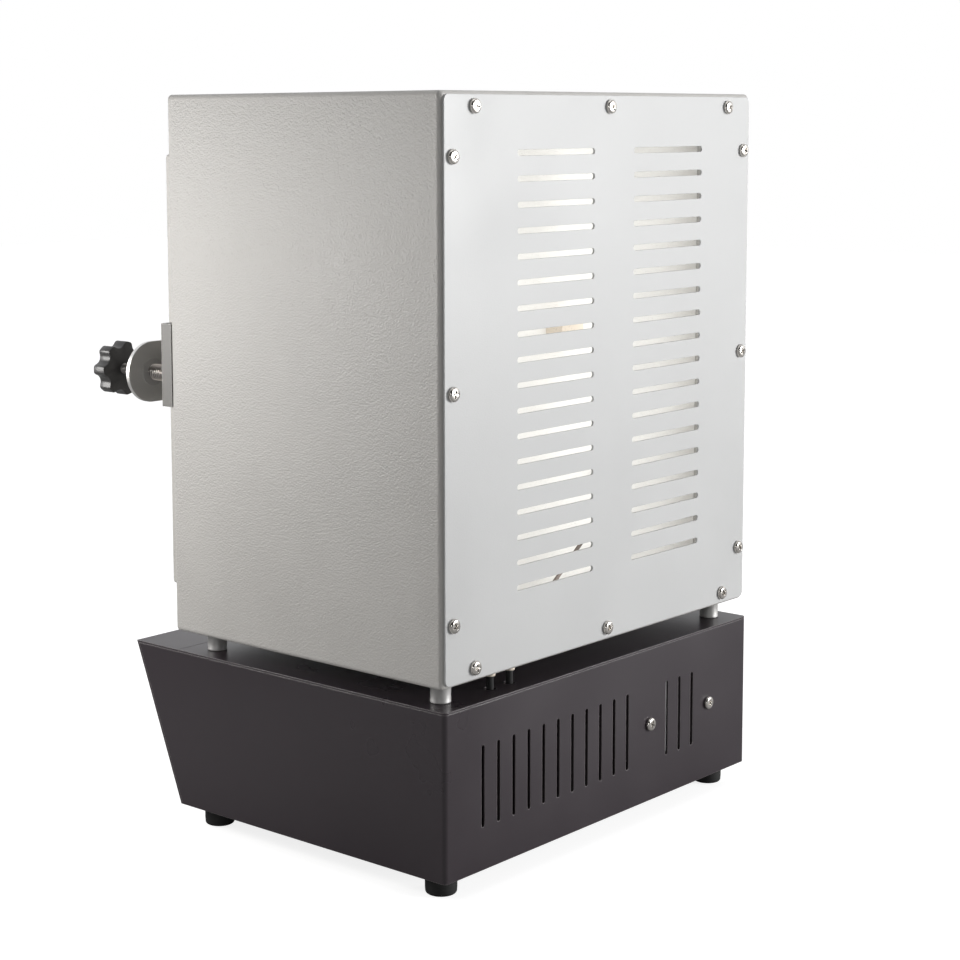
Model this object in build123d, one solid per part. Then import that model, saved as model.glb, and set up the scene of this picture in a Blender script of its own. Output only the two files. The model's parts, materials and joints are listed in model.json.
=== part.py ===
from build123d import *
import math
import os

os.makedirs("parts", exist_ok=True)

# Jewellery kiln: a sheet-steel casing on four posts over a control base.
# Millimetres, +Z up. The door faces -Y and the slotted rear cover faces +Y.
# While the pieces are drawn, X and Y start at the middle of the casing and Z starts
# at the floor; save() then moves them to the middle of the kiln's footprint.

# ---------------------------------------------------------------- casing
casing_width = 345.0
casing_height = 375.0
casing_depth = 247.5
casing_sheet = 1.5
casing_bend = 3.2            # outer bend radius of the long edges
rear_bend = 3.0              # outer bend radius round the rear face
front_bend = 2.0             # outer bend radius round the front face
rear_flange = 24.0           # width of the flange that carries the cover
front_plate_thickness = 2.0

# ---------------------------------------------------------------- rear cover
cover_thickness = 1.5
cutter_overrun = 1.0         # cutting shapes run this far past the faces they cut
cover_inset = 2.3            # from the casing's sides to the cover's edge
cover_corner = 4.0
slot_count = 18
slot_length = 82.0
slot_height = 4.0
slot_end_share = 0.3         # corner taken off a slot's ends, as a share of its width
slot_pitch = 16.6
slot_column_spacing = 126.5
slot_column_shift = -5.6     # the two columns sit a little off the middle
slot_rise = 7.5              # the rows sit a little above the middle
side_screw_inset = 9.8       # side columns: from the casing's side
side_screw_end = 40.6        # side columns: from the casing's top and bottom
row_screw_inset = 30.8       # top and bottom rows: from the casing's side
row_screw_end = 9.6          # top and bottom rows: from the casing's top and bottom

# ---------------------------------------------------------------- screws
screw_radius = 2.5           # M5
screw_head_radius = 4.8
screw_head_height = 2.8
screw_length = 10.0
small_screw_radius = 2.0     # M4
small_head_radius = 3.8
small_head_height = 2.4
small_screw_length = 9.0
pan_crown = 0.45             # edge taken off a pan head, as a share of its height
screw_sides = 12             # a screw's round outlines are drawn with this many sides
screw_clearance = 0.3        # radial, through a plain hole
tapped_clearance = 0.1       # radial, in a tapped hole

# ---------------------------------------------------------------- base
base_side_step = 0.5         # the base's sides stand this far outside the casing's
base_height = 112.0
base_sheet = 1.5
base_bend = 3.0
base_front_step = 41.8       # the base's top edge stands this far in front of the casing
base_back_step = 1.8         # the base's back stands this far behind the cover
base_undercut = 44.4         # the front panel runs in towards its foot by this much
base_seam = 44.0             # depth of the front panel's top flange
base_seam_gap = 0.4
base_flange = 12.0           # inward flange that carries the top plate
base_lip = 10.0              # inward lip at the front panel's foot
base_tray_rim = 10.0         # upturned rim of the bottom plate
base_slot_length = 54.5
base_slot_width = 3.2
base_slot_pitch = 15.8
base_slot_count = 11
base_slot_edge = 37.5        # first slot, from the base's +X side
sink_slot_count = 3
sink_slot_edge = 71.0        # last slot, from the base's -X side
sink_screw_spacing = 73.4

# ---------------------------------------------------------------- posts and feet
casing_gap = 13.5
post_radius = 6.9
post_bolt_radius = 2.5
post_side_inset = 18.8       # from the casing's side
post_back_inset = 18.5       # from the cover's face
post_front_inset = 22.0      # from the casing's front
foot_radius = 10.8
foot_height = 14.5
foot_edge = 2.0
foot_recess_radius = 5.0
foot_recess_depth = 8.0

# ---------------------------------------------------------------- chamber
chamber_width = 150.0
chamber_height = 120.0
chamber_depth = 148.0
chamber_corner = 6.0
muffle_wall = 9.0
element_space = 9.0          # between the muffle and the insulation
element_wire_radius = 1.4
element_turns = 6
element_pitch = 20.0
element_clearance = 0.4
rear_insulation = 44.0
fibre_fit = 0.5
lead_bore_radius = 2.2
lead_inset_x = 45.0
bushing_radius = 3.6
bushing_wall = 1.8
bushing_spacing = 20.0
bushing_side_inset = 73.7    # from the casing's side to the middle of the pair
bushing_back_inset = 14.5    # from the cover's face
wire_sides = 6               # a round wire's section is drawn with this many sides
sheath_radius = 4.0
sheath_tip_share = 0.6       # rounding of the sheath's tip, as a share of its radius
sheath_reach = 22.0          # how far the thermocouple stands into the chamber
sheath_rise = 34.0
head_radius = 12.0
head_length = 14.0

# ---------------------------------------------------------------- door
door_inset = 23.5            # from the casing's sides to the door's edges
door_bottom = 26.0           # from the casing's bottom
door_top = 41.0              # from the casing's top
door_gap = 0.4
door_depth = 29.3
door_sheet = 1.5
door_bend = 2.5              # of the tray's corners
door_front_bend = 2.4        # round the tray's face
door_seat = 8.0              # overlap of the door on the casing's front window
plug_clearance = 3.0
plug_reach = 9.0             # into the muffle
plug_taper = 2.0
handle_x = 98.0
handle_radius = 13.0
handle_stem_radius = 6.0
handle_foot_flare = 1.5
handle_stem_length = 6.0
handle_neck_length = 14.0
handle_length = 26.0

# ---------------------------------------------------------------- hinges
hinge_axis_x_gap = 10.0      # from the door's edge to the pin
hinge_axis_depth = 15.0      # from the casing's front to the pin
hinge_spacing = 200.0
hinge_pin_radius = 3.0
hinge_pin_clearance = 0.06
hinge_barrel_radius = 6.0
hinge_barrel_length = 32.0
hinge_ear = 4.0
hinge_ear_gap = 0.4
hinge_base_thickness = 3.0
hinge_pin_head = 4.5
hinge_strap = 3.0
hinge_strap_height = 26.0
hinge_strap_margin = 1.5     # between the strap and the edges of the door's side
hinge_foot_inset = 1.5       # from the casing's side
hinge_screw_spacing = 18.0

# ---------------------------------------------------------------- latch
latch_bar_width = 16.2
latch_bar_depth = 10.8
latch_bar_height = 58.4
latch_bar_rise = 7.0         # the bar's middle stands this far above the stud
latch_bar_edge = 0.6
latch_screw_spacing = 42.0
stud_radius = 4.0            # M8
stud_inset = 8.5             # from the casing's side
stud_above_door_middle = 1.0
stud_thread_pitch = 1.25
stud_engaged = 8.0           # length of stud inside the knob
stud_seat = 8.0              # length of stud inside the bar while the knob is backed off
stud_end_edge = 0.8
stud_clearance = 0.06
stud_relief = 1.0            # radial, round the stud behind the bar
clamp_front = 33.0           # front face of the clamp plate, from the casing's front
clamp_thickness = 3.0
clamp_radius = 21.5
clamp_flat = 11.0            # from the stud to the plate's straight edge
clamp_corner = 2.0
clamp_hole_clearance = 0.5
washer_radius = 10.0
washer_thickness = 1.6
washer_clearance = 0.4
seat_gap = 0.3               # between parts of different bodies
spring_radius = 5.4          # to the middle of the wire
spring_wire_radius = 0.6
spring_turns = 8
knob_back = 59.55            # back face of the knob, from the casing's front
knob_thickness = 11.95
knob_radius = 19.5
knob_lobes = 7
knob_scallop_radius = 6.0
knob_lobe_corner = 1.8
knob_edge = 1.0
knob_bore_depth = 8.5
knob_turns = 21              # from backed off to just off the clamp plate

# ---------------------------------------------------------------- controls
controller_size = 72.0
controller_bezel = 7.0
controller_body = 67.5
controller_body_depth = 56.0
controller_corner = 3.0
controller_edge = 1.0
controller_cutout_fit = 0.4
window_width = 58.0
window_height = 28.0
window_depth = 1.5
window_rise = 13.0
window_fit = 0.15
button_names = ("button_set", "button_shift", "button_down", "button_up")
button_width = 10.0
button_height = 6.0
button_spacing = 15.0
button_drop = 21.0
button_proud = 1.4
button_sunk = 2.8
button_well = 4.4
button_clearance = 0.35
button_corner = 1.5
button_edge = 0.5
switch_x = 110.0
switch_width = 25.0
switch_height = 31.0
switch_bezel = 2.0
switch_corner = 2.0
switch_wall = 1.8
switch_body_depth = 22.0
switch_cavity_depth = 7.0
rocker_width = 17.0
rocker_height = 20.0
rocker_rise = 3.4
rocker_dip = 1.4
rocker_below = 3.0
rocker_pivot_depth = 1.0
rocker_tilt = 8.0
rocker_clearance = 1.2       # at the rocker's ends
rocker_side_gap = 0.36
trunnion_radius = 1.5
trunnion_clearance = 0.06
trunnion_length = 1.2
lamp_x = -110.0
lamp_radius = 6.0
lamp_bezel_radius = 8.5
lamp_bezel_height = 2.0
lamp_bezel_edge = 0.7
lamp_wall = 1.0
lamp_body_depth = 18.0
lamp_dome = 3.0
lamp_dome_share = 0.6        # rounding of the lens, as a share of its height
panel_fit = 0.25

# ---------------------------------------------------------------- inside the base
sink_width = 86.0
sink_height = 60.0
sink_base = 6.0
sink_depth = 26.0
sink_fin = 2.0
sink_fins = 9
sink_lug = 10.0
relay_width = 45.0
relay_height = 58.0
relay_depth = 23.0
relay_corner = 2.0
relay_terminal = 7.0
terminal_ways = 4
terminal_pitch = 14.0
terminal_depth = 26.0
terminal_height = 18.0
terminal_fin = 2.0
terminal_floor = 8.0
terminal_x = 90.0
terminal_y = 40.0
inlet_back_inset = 66.3      # from the base's back
inlet_flange_width = 50.0
inlet_flange_height = 24.0
inlet_flange = 2.5
inlet_body_width = 27.0
inlet_body_height = 20.0
inlet_body_depth = 26.0
inlet_corner = 3.0
inlet_socket_width = 23.0
inlet_socket_height = 16.0
inlet_socket_depth = 16.0
inlet_pin_width = 4.0
inlet_pin_thickness = 2.0
inlet_pin_length = 13.0
inlet_pin_spacing = 7.0
inlet_outer_pin_drop = 2.0
inlet_middle_pin_rise = 3.0
inlet_screw_spacing = 40.0

# ---------------------------------------------------------------- places that follow
base_bottom = foot_height
base_top = base_bottom + base_height
casing_bottom = base_top + casing_gap
casing_top = casing_bottom + casing_height
casing_middle = (casing_bottom + casing_top) / 2
front_y = -(casing_depth + cover_thickness) / 2
flange_y = front_y + casing_depth
cover_y = flange_y + cover_thickness
base_front_y = front_y - base_front_step
base_back_y = cover_y + base_back_step
base_middle_z = base_bottom + base_height / 2
base_width = casing_width + 2 * base_side_step
post_x = casing_width / 2 - post_side_inset
post_back_y = cover_y - post_back_inset
post_front_y = front_y + post_front_inset
bushing_x = casing_width / 2 - bushing_side_inset
bushing_y = cover_y - bushing_back_inset
inlet_y = base_back_y - inlet_back_inset
panel_back_y = front_y + casing_sheet + front_plate_thickness

door_low = casing_bottom + door_bottom
door_high = casing_top - door_top
door_middle = (door_low + door_high) / 2
door_half = casing_width / 2 - door_inset
door_back_y = front_y - door_gap
door_front_y = door_back_y - door_depth
hinge_x = -door_half - hinge_axis_x_gap
hinge_y = front_y - hinge_axis_depth

stud_x = casing_width / 2 - stud_inset
stud_z = door_middle + stud_above_door_middle
clamp_front_y = front_y - clamp_front
clamp_back_y = clamp_front_y + clamp_thickness
knob_back_y = front_y - knob_back
knob_front_y = knob_back_y - knob_thickness
knob_travel = knob_turns * stud_thread_pitch
stud_tip_y = knob_back_y - stud_engaged
stud_end_y = front_y - latch_bar_depth + stud_seat
stud_reach_y = stud_end_y + knob_travel

muffle_half_width = chamber_width / 2 + muffle_wall
muffle_half_height = chamber_height / 2 + muffle_wall
muffle_rear_y = panel_back_y + chamber_depth + muffle_wall
fibre_rear_y = muffle_rear_y + rear_insulation
fibre_half_width = casing_width / 2 - casing_sheet - fibre_fit
fibre_low = casing_bottom + casing_sheet
fibre_high = casing_top - casing_sheet - fibre_fit
heart_half_width = muffle_half_width + element_space
heart_low = door_middle - muffle_half_height - element_space
heart_high = door_middle + muffle_half_height + element_space

# The front panel leans back towards its foot, so its face looks a little down.
panel_slope = math.degrees(math.atan2(base_undercut, base_height))
panel_plane = Plane(
    origin=(0, base_front_y + base_undercut / 2, base_middle_z),
    x_dir=(1, 0, 0),
    z_dir=(0, -math.cos(math.radians(panel_slope)), -math.sin(math.radians(panel_slope))),
)

# The box round the whole kiln: its middle is the part's origin.
low_x = -(base_width / 2 + inlet_flange)
high_x = stud_x + clamp_radius
low_y = knob_front_y
high_y = base_back_y + screw_head_height
middle_x = (low_x + high_x) / 2
middle_y = (low_y + high_y) / 2


# ---------------------------------------------------------------- helpers
def save(node, shape):
    """Writes one sub-part in the kiln's own frame."""
    export_step(Pos(-middle_x, -middle_y, 0) * shape, f"parts/{node}.step")


def block(x, y, z):
    """A box between pairs of x, y and z."""
    size = Box(x[1] - x[0], y[1] - y[0], z[1] - z[0])
    return Pos((x[0] + x[1]) / 2, (y[0] + y[1]) / 2, (z[0] + z[1]) / 2) * size


def slab(outline, y):
    """An outline drawn in X and Z, made solid between a pair of y."""
    return Pos(0, y[0], 0) * extrude(Plane.XZ * outline, amount=y[0] - y[1])


def rod_y(radius, x, z, y):
    """A round bar along Y between a pair of y."""
    return Pos(x, (y[0] + y[1]) / 2, z) * Rot(90, 0, 0) * Cylinder(radius, y[1] - y[0])


def rod_z(radius, x, y, z):
    """A round bar along Z between a pair of z."""
    return Pos(x, y, (z[0] + z[1]) / 2) * Cylinder(radius, z[1] - z[0])


def end_edges(shape, axis, last):
    """The edges round the first or last face of a shape along an axis."""
    return shape.faces().sort_by(axis)[-1 if last else 0].edges()


def together(shapes):
    """Separate solids of one node."""
    return Part() + list(shapes)


def pan_screw(radius, head_radius, head_height, length):
    """A pan-head screw: its head stands on Z = 0 and its shank hangs below."""
    head = extrude(RegularPolygon(head_radius, screw_sides), amount=head_height)
    head = chamfer(end_edges(head, Axis.Z, True), head_height * pan_crown)
    return head + extrude(RegularPolygon(radius, screw_sides), amount=-length)


def slot_outline(length, width):
    """A level slot with its ends' corners taken off."""
    outline = Rectangle(length, width)
    return chamfer(outline.vertices(), width * slot_end_share)


def stud_hole(y):
    """The relief round the stud, through what lies behind the bar."""
    return rod_y(stud_radius + stud_relief, stud_x, stud_z, y)


def front_screw_holes(y):
    """Tapped holes for the screws that hold the hinges and the latch bar."""
    places = [(hinge_x, z + side * hinge_screw_spacing) for z in hinge_heights() for side in (-0.5, 0.5)]
    places += [(stud_x, z) for z in latch_screw_heights()]
    return together(rod_y(small_screw_radius + tapped_clearance, x, z, y) for x, z in places)


def cover_screw_places():
    """X and Z of the rear cover's twelve screws."""
    side_x = casing_width / 2 - side_screw_inset
    row_x = casing_width / 2 - row_screw_inset
    side = casing_height / 2 - side_screw_end
    row = casing_height / 2 - row_screw_end
    places = [(x, casing_middle + z) for x in (-side_x, side_x) for z in (-side, 0, side)]
    return places + [(x, casing_middle + z) for x in (-row_x, 0, row_x) for z in (-row, row)]


def post_places():
    """X and Y of the four posts, which stand right above the four feet."""
    return [(x, y) for x in (-post_x, post_x) for y in (post_front_y, post_back_y)]


def bushing_places():
    """X of the two lead bushings."""
    return (bushing_x - bushing_spacing / 2, bushing_x + bushing_spacing / 2)


def sink_screw_places():
    """X of the two screws that hold the heat sink on the base's back."""
    last_slot = -base_width / 2 + sink_slot_edge
    middle = last_slot + base_slot_pitch * (sink_slot_count - 1) / 2
    return (middle - sink_screw_spacing / 2, middle + sink_screw_spacing / 2)


# ---------------------------------------------------------------- casing
def casing_shell():
    """The folded box: flanged at the rear for the cover, windowed at the front."""
    centre = Pos(0, casing_middle)
    size = RectangleRounded(casing_width, casing_height, casing_bend)
    outer = slab(centre * size, (front_y, flange_y))
    outer = fillet(end_edges(outer, Axis.Y, True), rear_bend)
    outer = fillet(end_edges(outer, Axis.Y, False), front_bend)
    inside = Rectangle(casing_width - 2 * casing_sheet, casing_height - 2 * casing_sheet)
    inner = slab(centre * inside, (front_y + casing_sheet, flange_y - casing_sheet))
    rear_hole = RectangleRounded(
        casing_width - 2 * rear_flange, casing_height - 2 * rear_flange, cover_corner
    )
    rear = slab(centre * rear_hole, (flange_y - 2 * casing_sheet, flange_y + casing_sheet))
    window = Rectangle(2 * (door_half - door_seat), door_high - door_low - 2 * door_seat)
    front = slab(Pos(0, door_middle) * window, (front_y - casing_sheet, front_y + 2 * casing_sheet))
    shell = outer - inner - rear - front
    front_sheet = (front_y - casing_sheet, front_y + 2 * casing_sheet)
    shell -= stud_hole(front_sheet)
    shell -= front_screw_holes(front_sheet)
    for x, z in cover_screw_places():
        span = (flange_y - 2 * casing_sheet, flange_y + casing_sheet)
        shell -= rod_y(screw_radius + tapped_clearance, x, z, span)
    floor = (casing_bottom - casing_sheet, casing_bottom + 2 * casing_sheet)
    for x, y in post_places():
        shell -= rod_z(post_bolt_radius + screw_clearance, x, y, floor)
    for x in bushing_places():
        shell -= rod_z(bushing_radius + fibre_fit, x, bushing_y, floor)
    return shell


def back_cover():
    """A flat sheet with two columns of level slots, laid on the rear flange."""
    outline = RectangleRounded(
        casing_width - 2 * cover_inset, casing_height - 2 * cover_inset, cover_corner
    )
    outline = Pos(0, casing_middle) * outline
    for column in (-0.5, 0.5):
        x = slot_column_shift + column * slot_column_spacing
        for row in range(slot_count):
            z = casing_middle + slot_rise + (row - (slot_count - 1) / 2) * slot_pitch
            outline -= Pos(x, z) * slot_outline(slot_length, slot_height)
    for x, z in cover_screw_places():
        outline -= Pos(x, z) * Circle(screw_radius + screw_clearance)
    return slab(outline, (flange_y, cover_y))


def back_cover_screws():
    screw = pan_screw(screw_radius, screw_head_radius, screw_head_height, screw_length)
    return together(Pos(x, cover_y, z) * Rot(-90, 0, 0) * screw for x, z in cover_screw_places())


def front_plate():
    """The steel plate behind the front window, with the chamber's mouth in it."""
    sheet = Pos(0, casing_middle) * Rectangle(2 * fibre_half_width, fibre_high - fibre_low)
    mouth = Pos(0, door_middle) * RectangleRounded(chamber_width, chamber_height, chamber_corner)
    plate = slab(sheet - mouth, (front_y + casing_sheet, panel_back_y))
    plate -= stud_hole((front_y, panel_back_y + cutter_overrun))
    return plate - front_screw_holes((front_y, panel_back_y + cutter_overrun))


def muffle():
    """The fired chamber: open to the front, with a hole in its back for the sheath."""
    corner = chamber_corner + muffle_wall
    outside = RectangleRounded(2 * muffle_half_width, 2 * muffle_half_height, corner)
    inside = RectangleRounded(chamber_width, chamber_height, chamber_corner)
    body = slab(Pos(0, door_middle) * outside, (panel_back_y, muffle_rear_y))
    chamber_back_y = muffle_rear_y - muffle_wall
    body -= slab(Pos(0, door_middle) * inside, (panel_back_y - cutter_overrun, chamber_back_y))
    span = (chamber_back_y - cutter_overrun, muffle_rear_y + cutter_overrun)
    return body - rod_y(sheath_radius + fibre_fit, 0, door_middle + sheath_rise, span)


def element_places():
    """The lead bores in the rear block: X and Z of the front lead and the rear lead."""
    offset = element_wire_radius + element_clearance
    lower = door_middle - muffle_half_height - element_space + offset
    upper = door_middle - muffle_half_height - offset
    return (lead_inset_x, lower), (-lead_inset_x, upper)


def heating_element():
    """One wire: up from a bushing, forward under the muffle, round it, and back down."""
    offset = element_wire_radius + element_clearance
    half_width = muffle_half_width + offset
    low = door_middle - muffle_half_height - offset
    high = door_middle + muffle_half_height + offset
    (front_x, front_z), (rear_x, rear_z) = element_places()
    near_x, far_x = bushing_places()
    start_y = panel_back_y + element_space + element_wire_radius
    wire_low = base_top - 2 * base_sheet
    rise = casing_bottom + 3 * bushing_radius
    points = [(far_x, bushing_y, wire_low), (far_x, bushing_y, front_z)]
    points += [(front_x, bushing_y, front_z), (front_x, start_y, front_z)]
    points += [(front_x + element_pitch, start_y, low)]
    for turn in range(element_turns):
        y = start_y + turn * element_pitch
        points += [(half_width, y, low), (half_width, y, high), (-half_width, y, high)]
        points += [(-half_width, y, low)]
    rear_y = start_y + (element_turns - 0.5) * element_pitch
    points += [(rear_x, rear_y, rear_z), (rear_x, bushing_y, rear_z)]
    points += [(near_x, bushing_y, rise), (near_x, bushing_y, wire_low)]
    corner = chamber_corner + muffle_wall + offset
    soft = 2 * element_wire_radius
    radii = [corner if abs(abs(p[0]) - half_width) < 1e-6 else soft for p in points[1:-1]]
    path = FilletPolyline(*points, radius=radii)
    return wire_along(path, element_wire_radius)


def wire_along(path, radius):
    """A wire of few sides along a path."""
    section = Plane(origin=path @ 0, z_dir=path % 0) * RegularPolygon(radius, wire_sides)
    return sweep(section, path=path)


def fibre_block(x, z):
    """An insulation block between the front plate and the rear block."""
    return block(x, (panel_back_y, muffle_rear_y), z)


def pocket_post_bolts(body):
    """A block pocketed over the heads of the post bolts that it reaches."""
    span = (fibre_low - cutter_overrun, fibre_low + 2 * small_head_height)
    for x, y in post_places():
        body -= rod_z(small_head_radius + fibre_fit, x, y, span)
    return body


def insulation_floor():
    """The lower block, pocketed over the heads of the front post bolts."""
    body = fibre_block((-fibre_half_width, fibre_half_width), (fibre_low, heart_low))
    return pocket_post_bolts(body)


def insulation_walls():
    """The two side blocks, the latch side's one drilled for the stud's end."""
    sides = ((-fibre_half_width, -heart_half_width), (heart_half_width, fibre_half_width))
    walls = together(fibre_block(x, (heart_low, heart_high)) for x in sides)
    return walls - stud_hole((panel_back_y - cutter_overrun, stud_reach_y + stud_relief))


def insulation_rear():
    """The block behind the muffle, bored for the two leads and the sheath."""
    width = (-fibre_half_width, fibre_half_width)
    body = block(width, (muffle_rear_y, fibre_rear_y), (fibre_low, fibre_high))
    body = pocket_post_bolts(body)
    span = (muffle_rear_y - cutter_overrun, fibre_rear_y + cutter_overrun)
    for x, z in element_places():
        body -= rod_y(lead_bore_radius, x, z, span)
    return body - rod_y(sheath_radius + fibre_fit, 0, door_middle + sheath_rise, span)


def thermocouple():
    """A ceramic sheath through the rear block, with its round terminal head."""
    z = door_middle + sheath_rise
    tip_y = muffle_rear_y - muffle_wall - sheath_reach
    sheath = rod_y(sheath_radius, 0, z, (tip_y, fibre_rear_y))
    sheath = fillet(end_edges(sheath, Axis.Y, False), sheath_radius * sheath_tip_share)
    return sheath + rod_y(head_radius, 0, z, (fibre_rear_y, fibre_rear_y + head_length))


def lead_bushings():
    """Two ceramic tubes that carry the leads from the casing into the base."""
    span = (base_top - 2 * base_sheet, casing_bottom + 3 * casing_sheet)
    tube = rod_z(bushing_radius, 0, bushing_y, span) - rod_z(bushing_wall, 0, bushing_y, span)
    return together(Pos(x, 0, 0) * tube for x in bushing_places())


# ---------------------------------------------------------------- posts and base
def spacer_posts():
    """Round aluminium posts, bored for their bolts."""
    span = (base_top, casing_bottom)
    post = rod_z(post_radius, 0, 0, span) - rod_z(post_bolt_radius + screw_clearance, 0, 0, span)
    return together(Pos(x, y, 0) * post for x, y in post_places())


def post_bolts():
    """Bolts from inside the casing, through the posts, into the base's top."""
    length = casing_gap + casing_sheet + 4 * base_sheet
    bolt = pan_screw(post_bolt_radius, small_head_radius, small_head_height, length)
    return together(Pos(x, y, casing_bottom + casing_sheet) * bolt for x, y in post_places())


def side_outline(front_set_back, top, bottom):
    """The base seen from the side, its sloping front set back along Y."""
    foot = (base_bottom - bottom) / base_height * base_undercut + base_undercut
    head = (base_top - top) / base_height * base_undercut
    front = base_front_y + front_set_back
    return [(front + head, top), (base_back_y, top), (base_back_y, bottom), (front + foot, bottom)]


def along_x(points, x):
    """A polygon drawn in Y and Z, made solid between a pair of x."""
    outline = Plane.YZ * Polygon(*points, align=None)
    return Pos(x[0], 0, 0) * extrude(outline, amount=x[1] - x[0], dir=(1, 0, 0))


def base_shell():
    """The two sides and the back, folded from one sheet, with its slots."""
    panel_run = base_sheet / math.cos(math.radians(panel_slope))
    top = base_top - base_sheet
    half = base_width / 2
    outer = along_x(side_outline(panel_run, top, base_bottom), (-half, half))
    corners = outer.edges().filter_by(Axis.Z)
    outer = fillet(corners, base_bend)
    inner_half = half - base_sheet
    reach = 2 * base_width
    hollow = block((-inner_half, inner_half), (-reach, base_back_y - base_sheet), (0, base_top))
    hollow = fillet(hollow.edges().filter_by(Axis.Z).group_by(Axis.Y)[-1], base_bend - base_sheet)
    shell = outer - hollow
    seam_y = base_front_y + base_seam + base_seam_gap
    inner_back_y = base_back_y - base_sheet
    flange = block((-inner_half, inner_half), (seam_y, inner_back_y), (top - base_sheet, top))
    inset = inner_half - base_flange
    flange -= block((-inset, inset), (-reach, inner_back_y - base_flange), (0, base_top))
    for x in bushing_places():
        flange -= rod_z(bushing_radius + fibre_fit, x, bushing_y, (base_bottom, base_top))
    shell += flange
    first = base_width / 2 - base_slot_edge
    last = -base_width / 2 + sink_slot_edge
    places = [first - n * base_slot_pitch for n in range(base_slot_count)]
    places += [last + n * base_slot_pitch for n in range(sink_slot_count)]
    span = (base_back_y - 2 * base_sheet, base_back_y + base_sheet)
    slot = Rot(0, 0, 90) * slot_outline(base_slot_length, base_slot_width)
    shell -= slab(Sketch() + [Pos(x, base_middle_z) * slot for x in places], span)
    for x in sink_screw_places():
        shell -= rod_y(screw_radius + screw_clearance, x, base_middle_z, span)
    body = (inlet_body_width / 2 + panel_fit, inlet_body_height / 2 + panel_fit)
    shell -= block(
        (-half - cutter_overrun, -inner_half + cutter_overrun),
        (inlet_y - body[0], inlet_y + body[0]),
        (base_middle_z - body[1], base_middle_z + body[1]),
    )
    for side in (-0.5, 0.5):
        place = Pos(-half, inlet_y + side * inlet_screw_spacing, base_middle_z)
        shell -= place * Rot(0, 90, 0) * Cylinder(small_screw_radius + tapped_clearance, 4 * base_sheet)
    return shell


def base_top_plate():
    """The flat top behind the front panel's flange."""
    half = base_width / 2
    seam_y = base_front_y + base_seam + base_seam_gap
    plate = block((-half, half), (seam_y, base_back_y), (base_top - base_sheet, base_top))
    plate = fillet(plate.edges().filter_by(Axis.Z).group_by(Axis.Y)[-1], base_bend)
    for x, y in post_places():
        plate -= rod_z(post_bolt_radius + tapped_clearance, x, y, (base_bottom, casing_bottom))
    for x in bushing_places():
        plate -= rod_z(bushing_radius + fibre_fit, x, bushing_y, (base_bottom, casing_bottom))
    return plate


def base_front_panel():
    """The sloping panel with its top flange and bottom lip, cut out for the controls."""
    half = base_width / 2
    slope = math.radians(panel_slope)
    run = base_sheet / math.cos(slope)
    turn_top = base_sheet * math.tan(slope)
    foot_y = base_front_y + base_undercut
    outline = [
        (base_front_y + base_seam, base_top),
        (base_front_y, base_top),
        (foot_y, base_bottom),
        (foot_y + base_lip, base_bottom),
        (foot_y + base_lip, base_bottom + base_sheet),
        (foot_y + run - turn_top, base_bottom + base_sheet),
        (base_front_y + run + turn_top, base_top - base_sheet),
        (base_front_y + base_seam, base_top - base_sheet),
    ]
    panel = along_x(outline, (-half, half))
    lip_half = half - base_sheet - panel_fit
    lip_end = [
        (foot_y + run, base_bottom),
        (foot_y + run - turn_top, base_bottom + base_sheet),
        (foot_y + 2 * base_lip, base_bottom + base_sheet),
        (foot_y + 2 * base_lip, base_bottom),
    ]
    for side in ((-half, -lip_half), (lip_half, half)):
        panel -= along_x(lip_end, side)
    cutter = controller_body + 2 * controller_cutout_fit
    panel -= panel_plane * Box(cutter, cutter, 6 * base_sheet)
    switch_hole = (switch_width - 2 * switch_wall, switch_height - 2 * switch_wall)
    panel -= panel_plane * Pos(switch_x, 0, 0) * Box(*switch_hole, 6 * base_sheet)
    panel -= panel_plane * Pos(lamp_x, 0, 0) * Cylinder(lamp_radius + panel_fit, 6 * base_sheet)
    return panel


def base_bottom_plate():
    """A shallow tray between the sides that carries the feet."""
    half = base_width / 2 - base_sheet - panel_fit
    front = base_front_y + base_undercut + base_lip + base_seam_gap
    back = base_back_y - base_sheet - panel_fit
    high = base_bottom + base_tray_rim
    tray = block((-half, half), (front, back), (base_bottom, high))
    tray = fillet(tray.edges().filter_by(Axis.Z).group_by(Axis.Y)[-1], base_bend)
    tray -= block(
        (-half + base_sheet, half - base_sheet),
        (front - cutter_overrun, back - base_sheet),
        (base_bottom + base_sheet, high + cutter_overrun),
    )
    for x, y in post_places():
        tray -= rod_z(small_screw_radius + tapped_clearance, x, y, (0, high))
    return tray


def feet():
    """Round rubber feet, recessed from below for their screws."""
    foot = rod_z(foot_radius, 0, 0, (0, foot_height))
    foot = chamfer(end_edges(foot, Axis.Z, False), foot_edge)
    foot -= rod_z(foot_recess_radius, 0, 0, (-cutter_overrun, foot_recess_depth))
    foot -= rod_z(small_screw_radius + screw_clearance, 0, 0, (0, foot_height))
    return together(Pos(x, y, 0) * foot for x, y in post_places())


def foot_screws():
    length = foot_height - foot_recess_depth + small_screw_length
    screw = pan_screw(small_screw_radius, small_head_radius, small_head_height, length)
    return together(Pos(x, y, foot_recess_depth) * Rot(180, 0, 0) * screw for x, y in post_places())


def base_back_screws():
    length = base_sheet + screw_length
    screw = Rot(-90, 0, 0) * pan_screw(screw_radius, screw_head_radius, screw_head_height, length)
    places = [Pos(x, base_back_y, base_middle_z) for x in sink_screw_places()]
    return together(place * screw for place in places)


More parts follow.
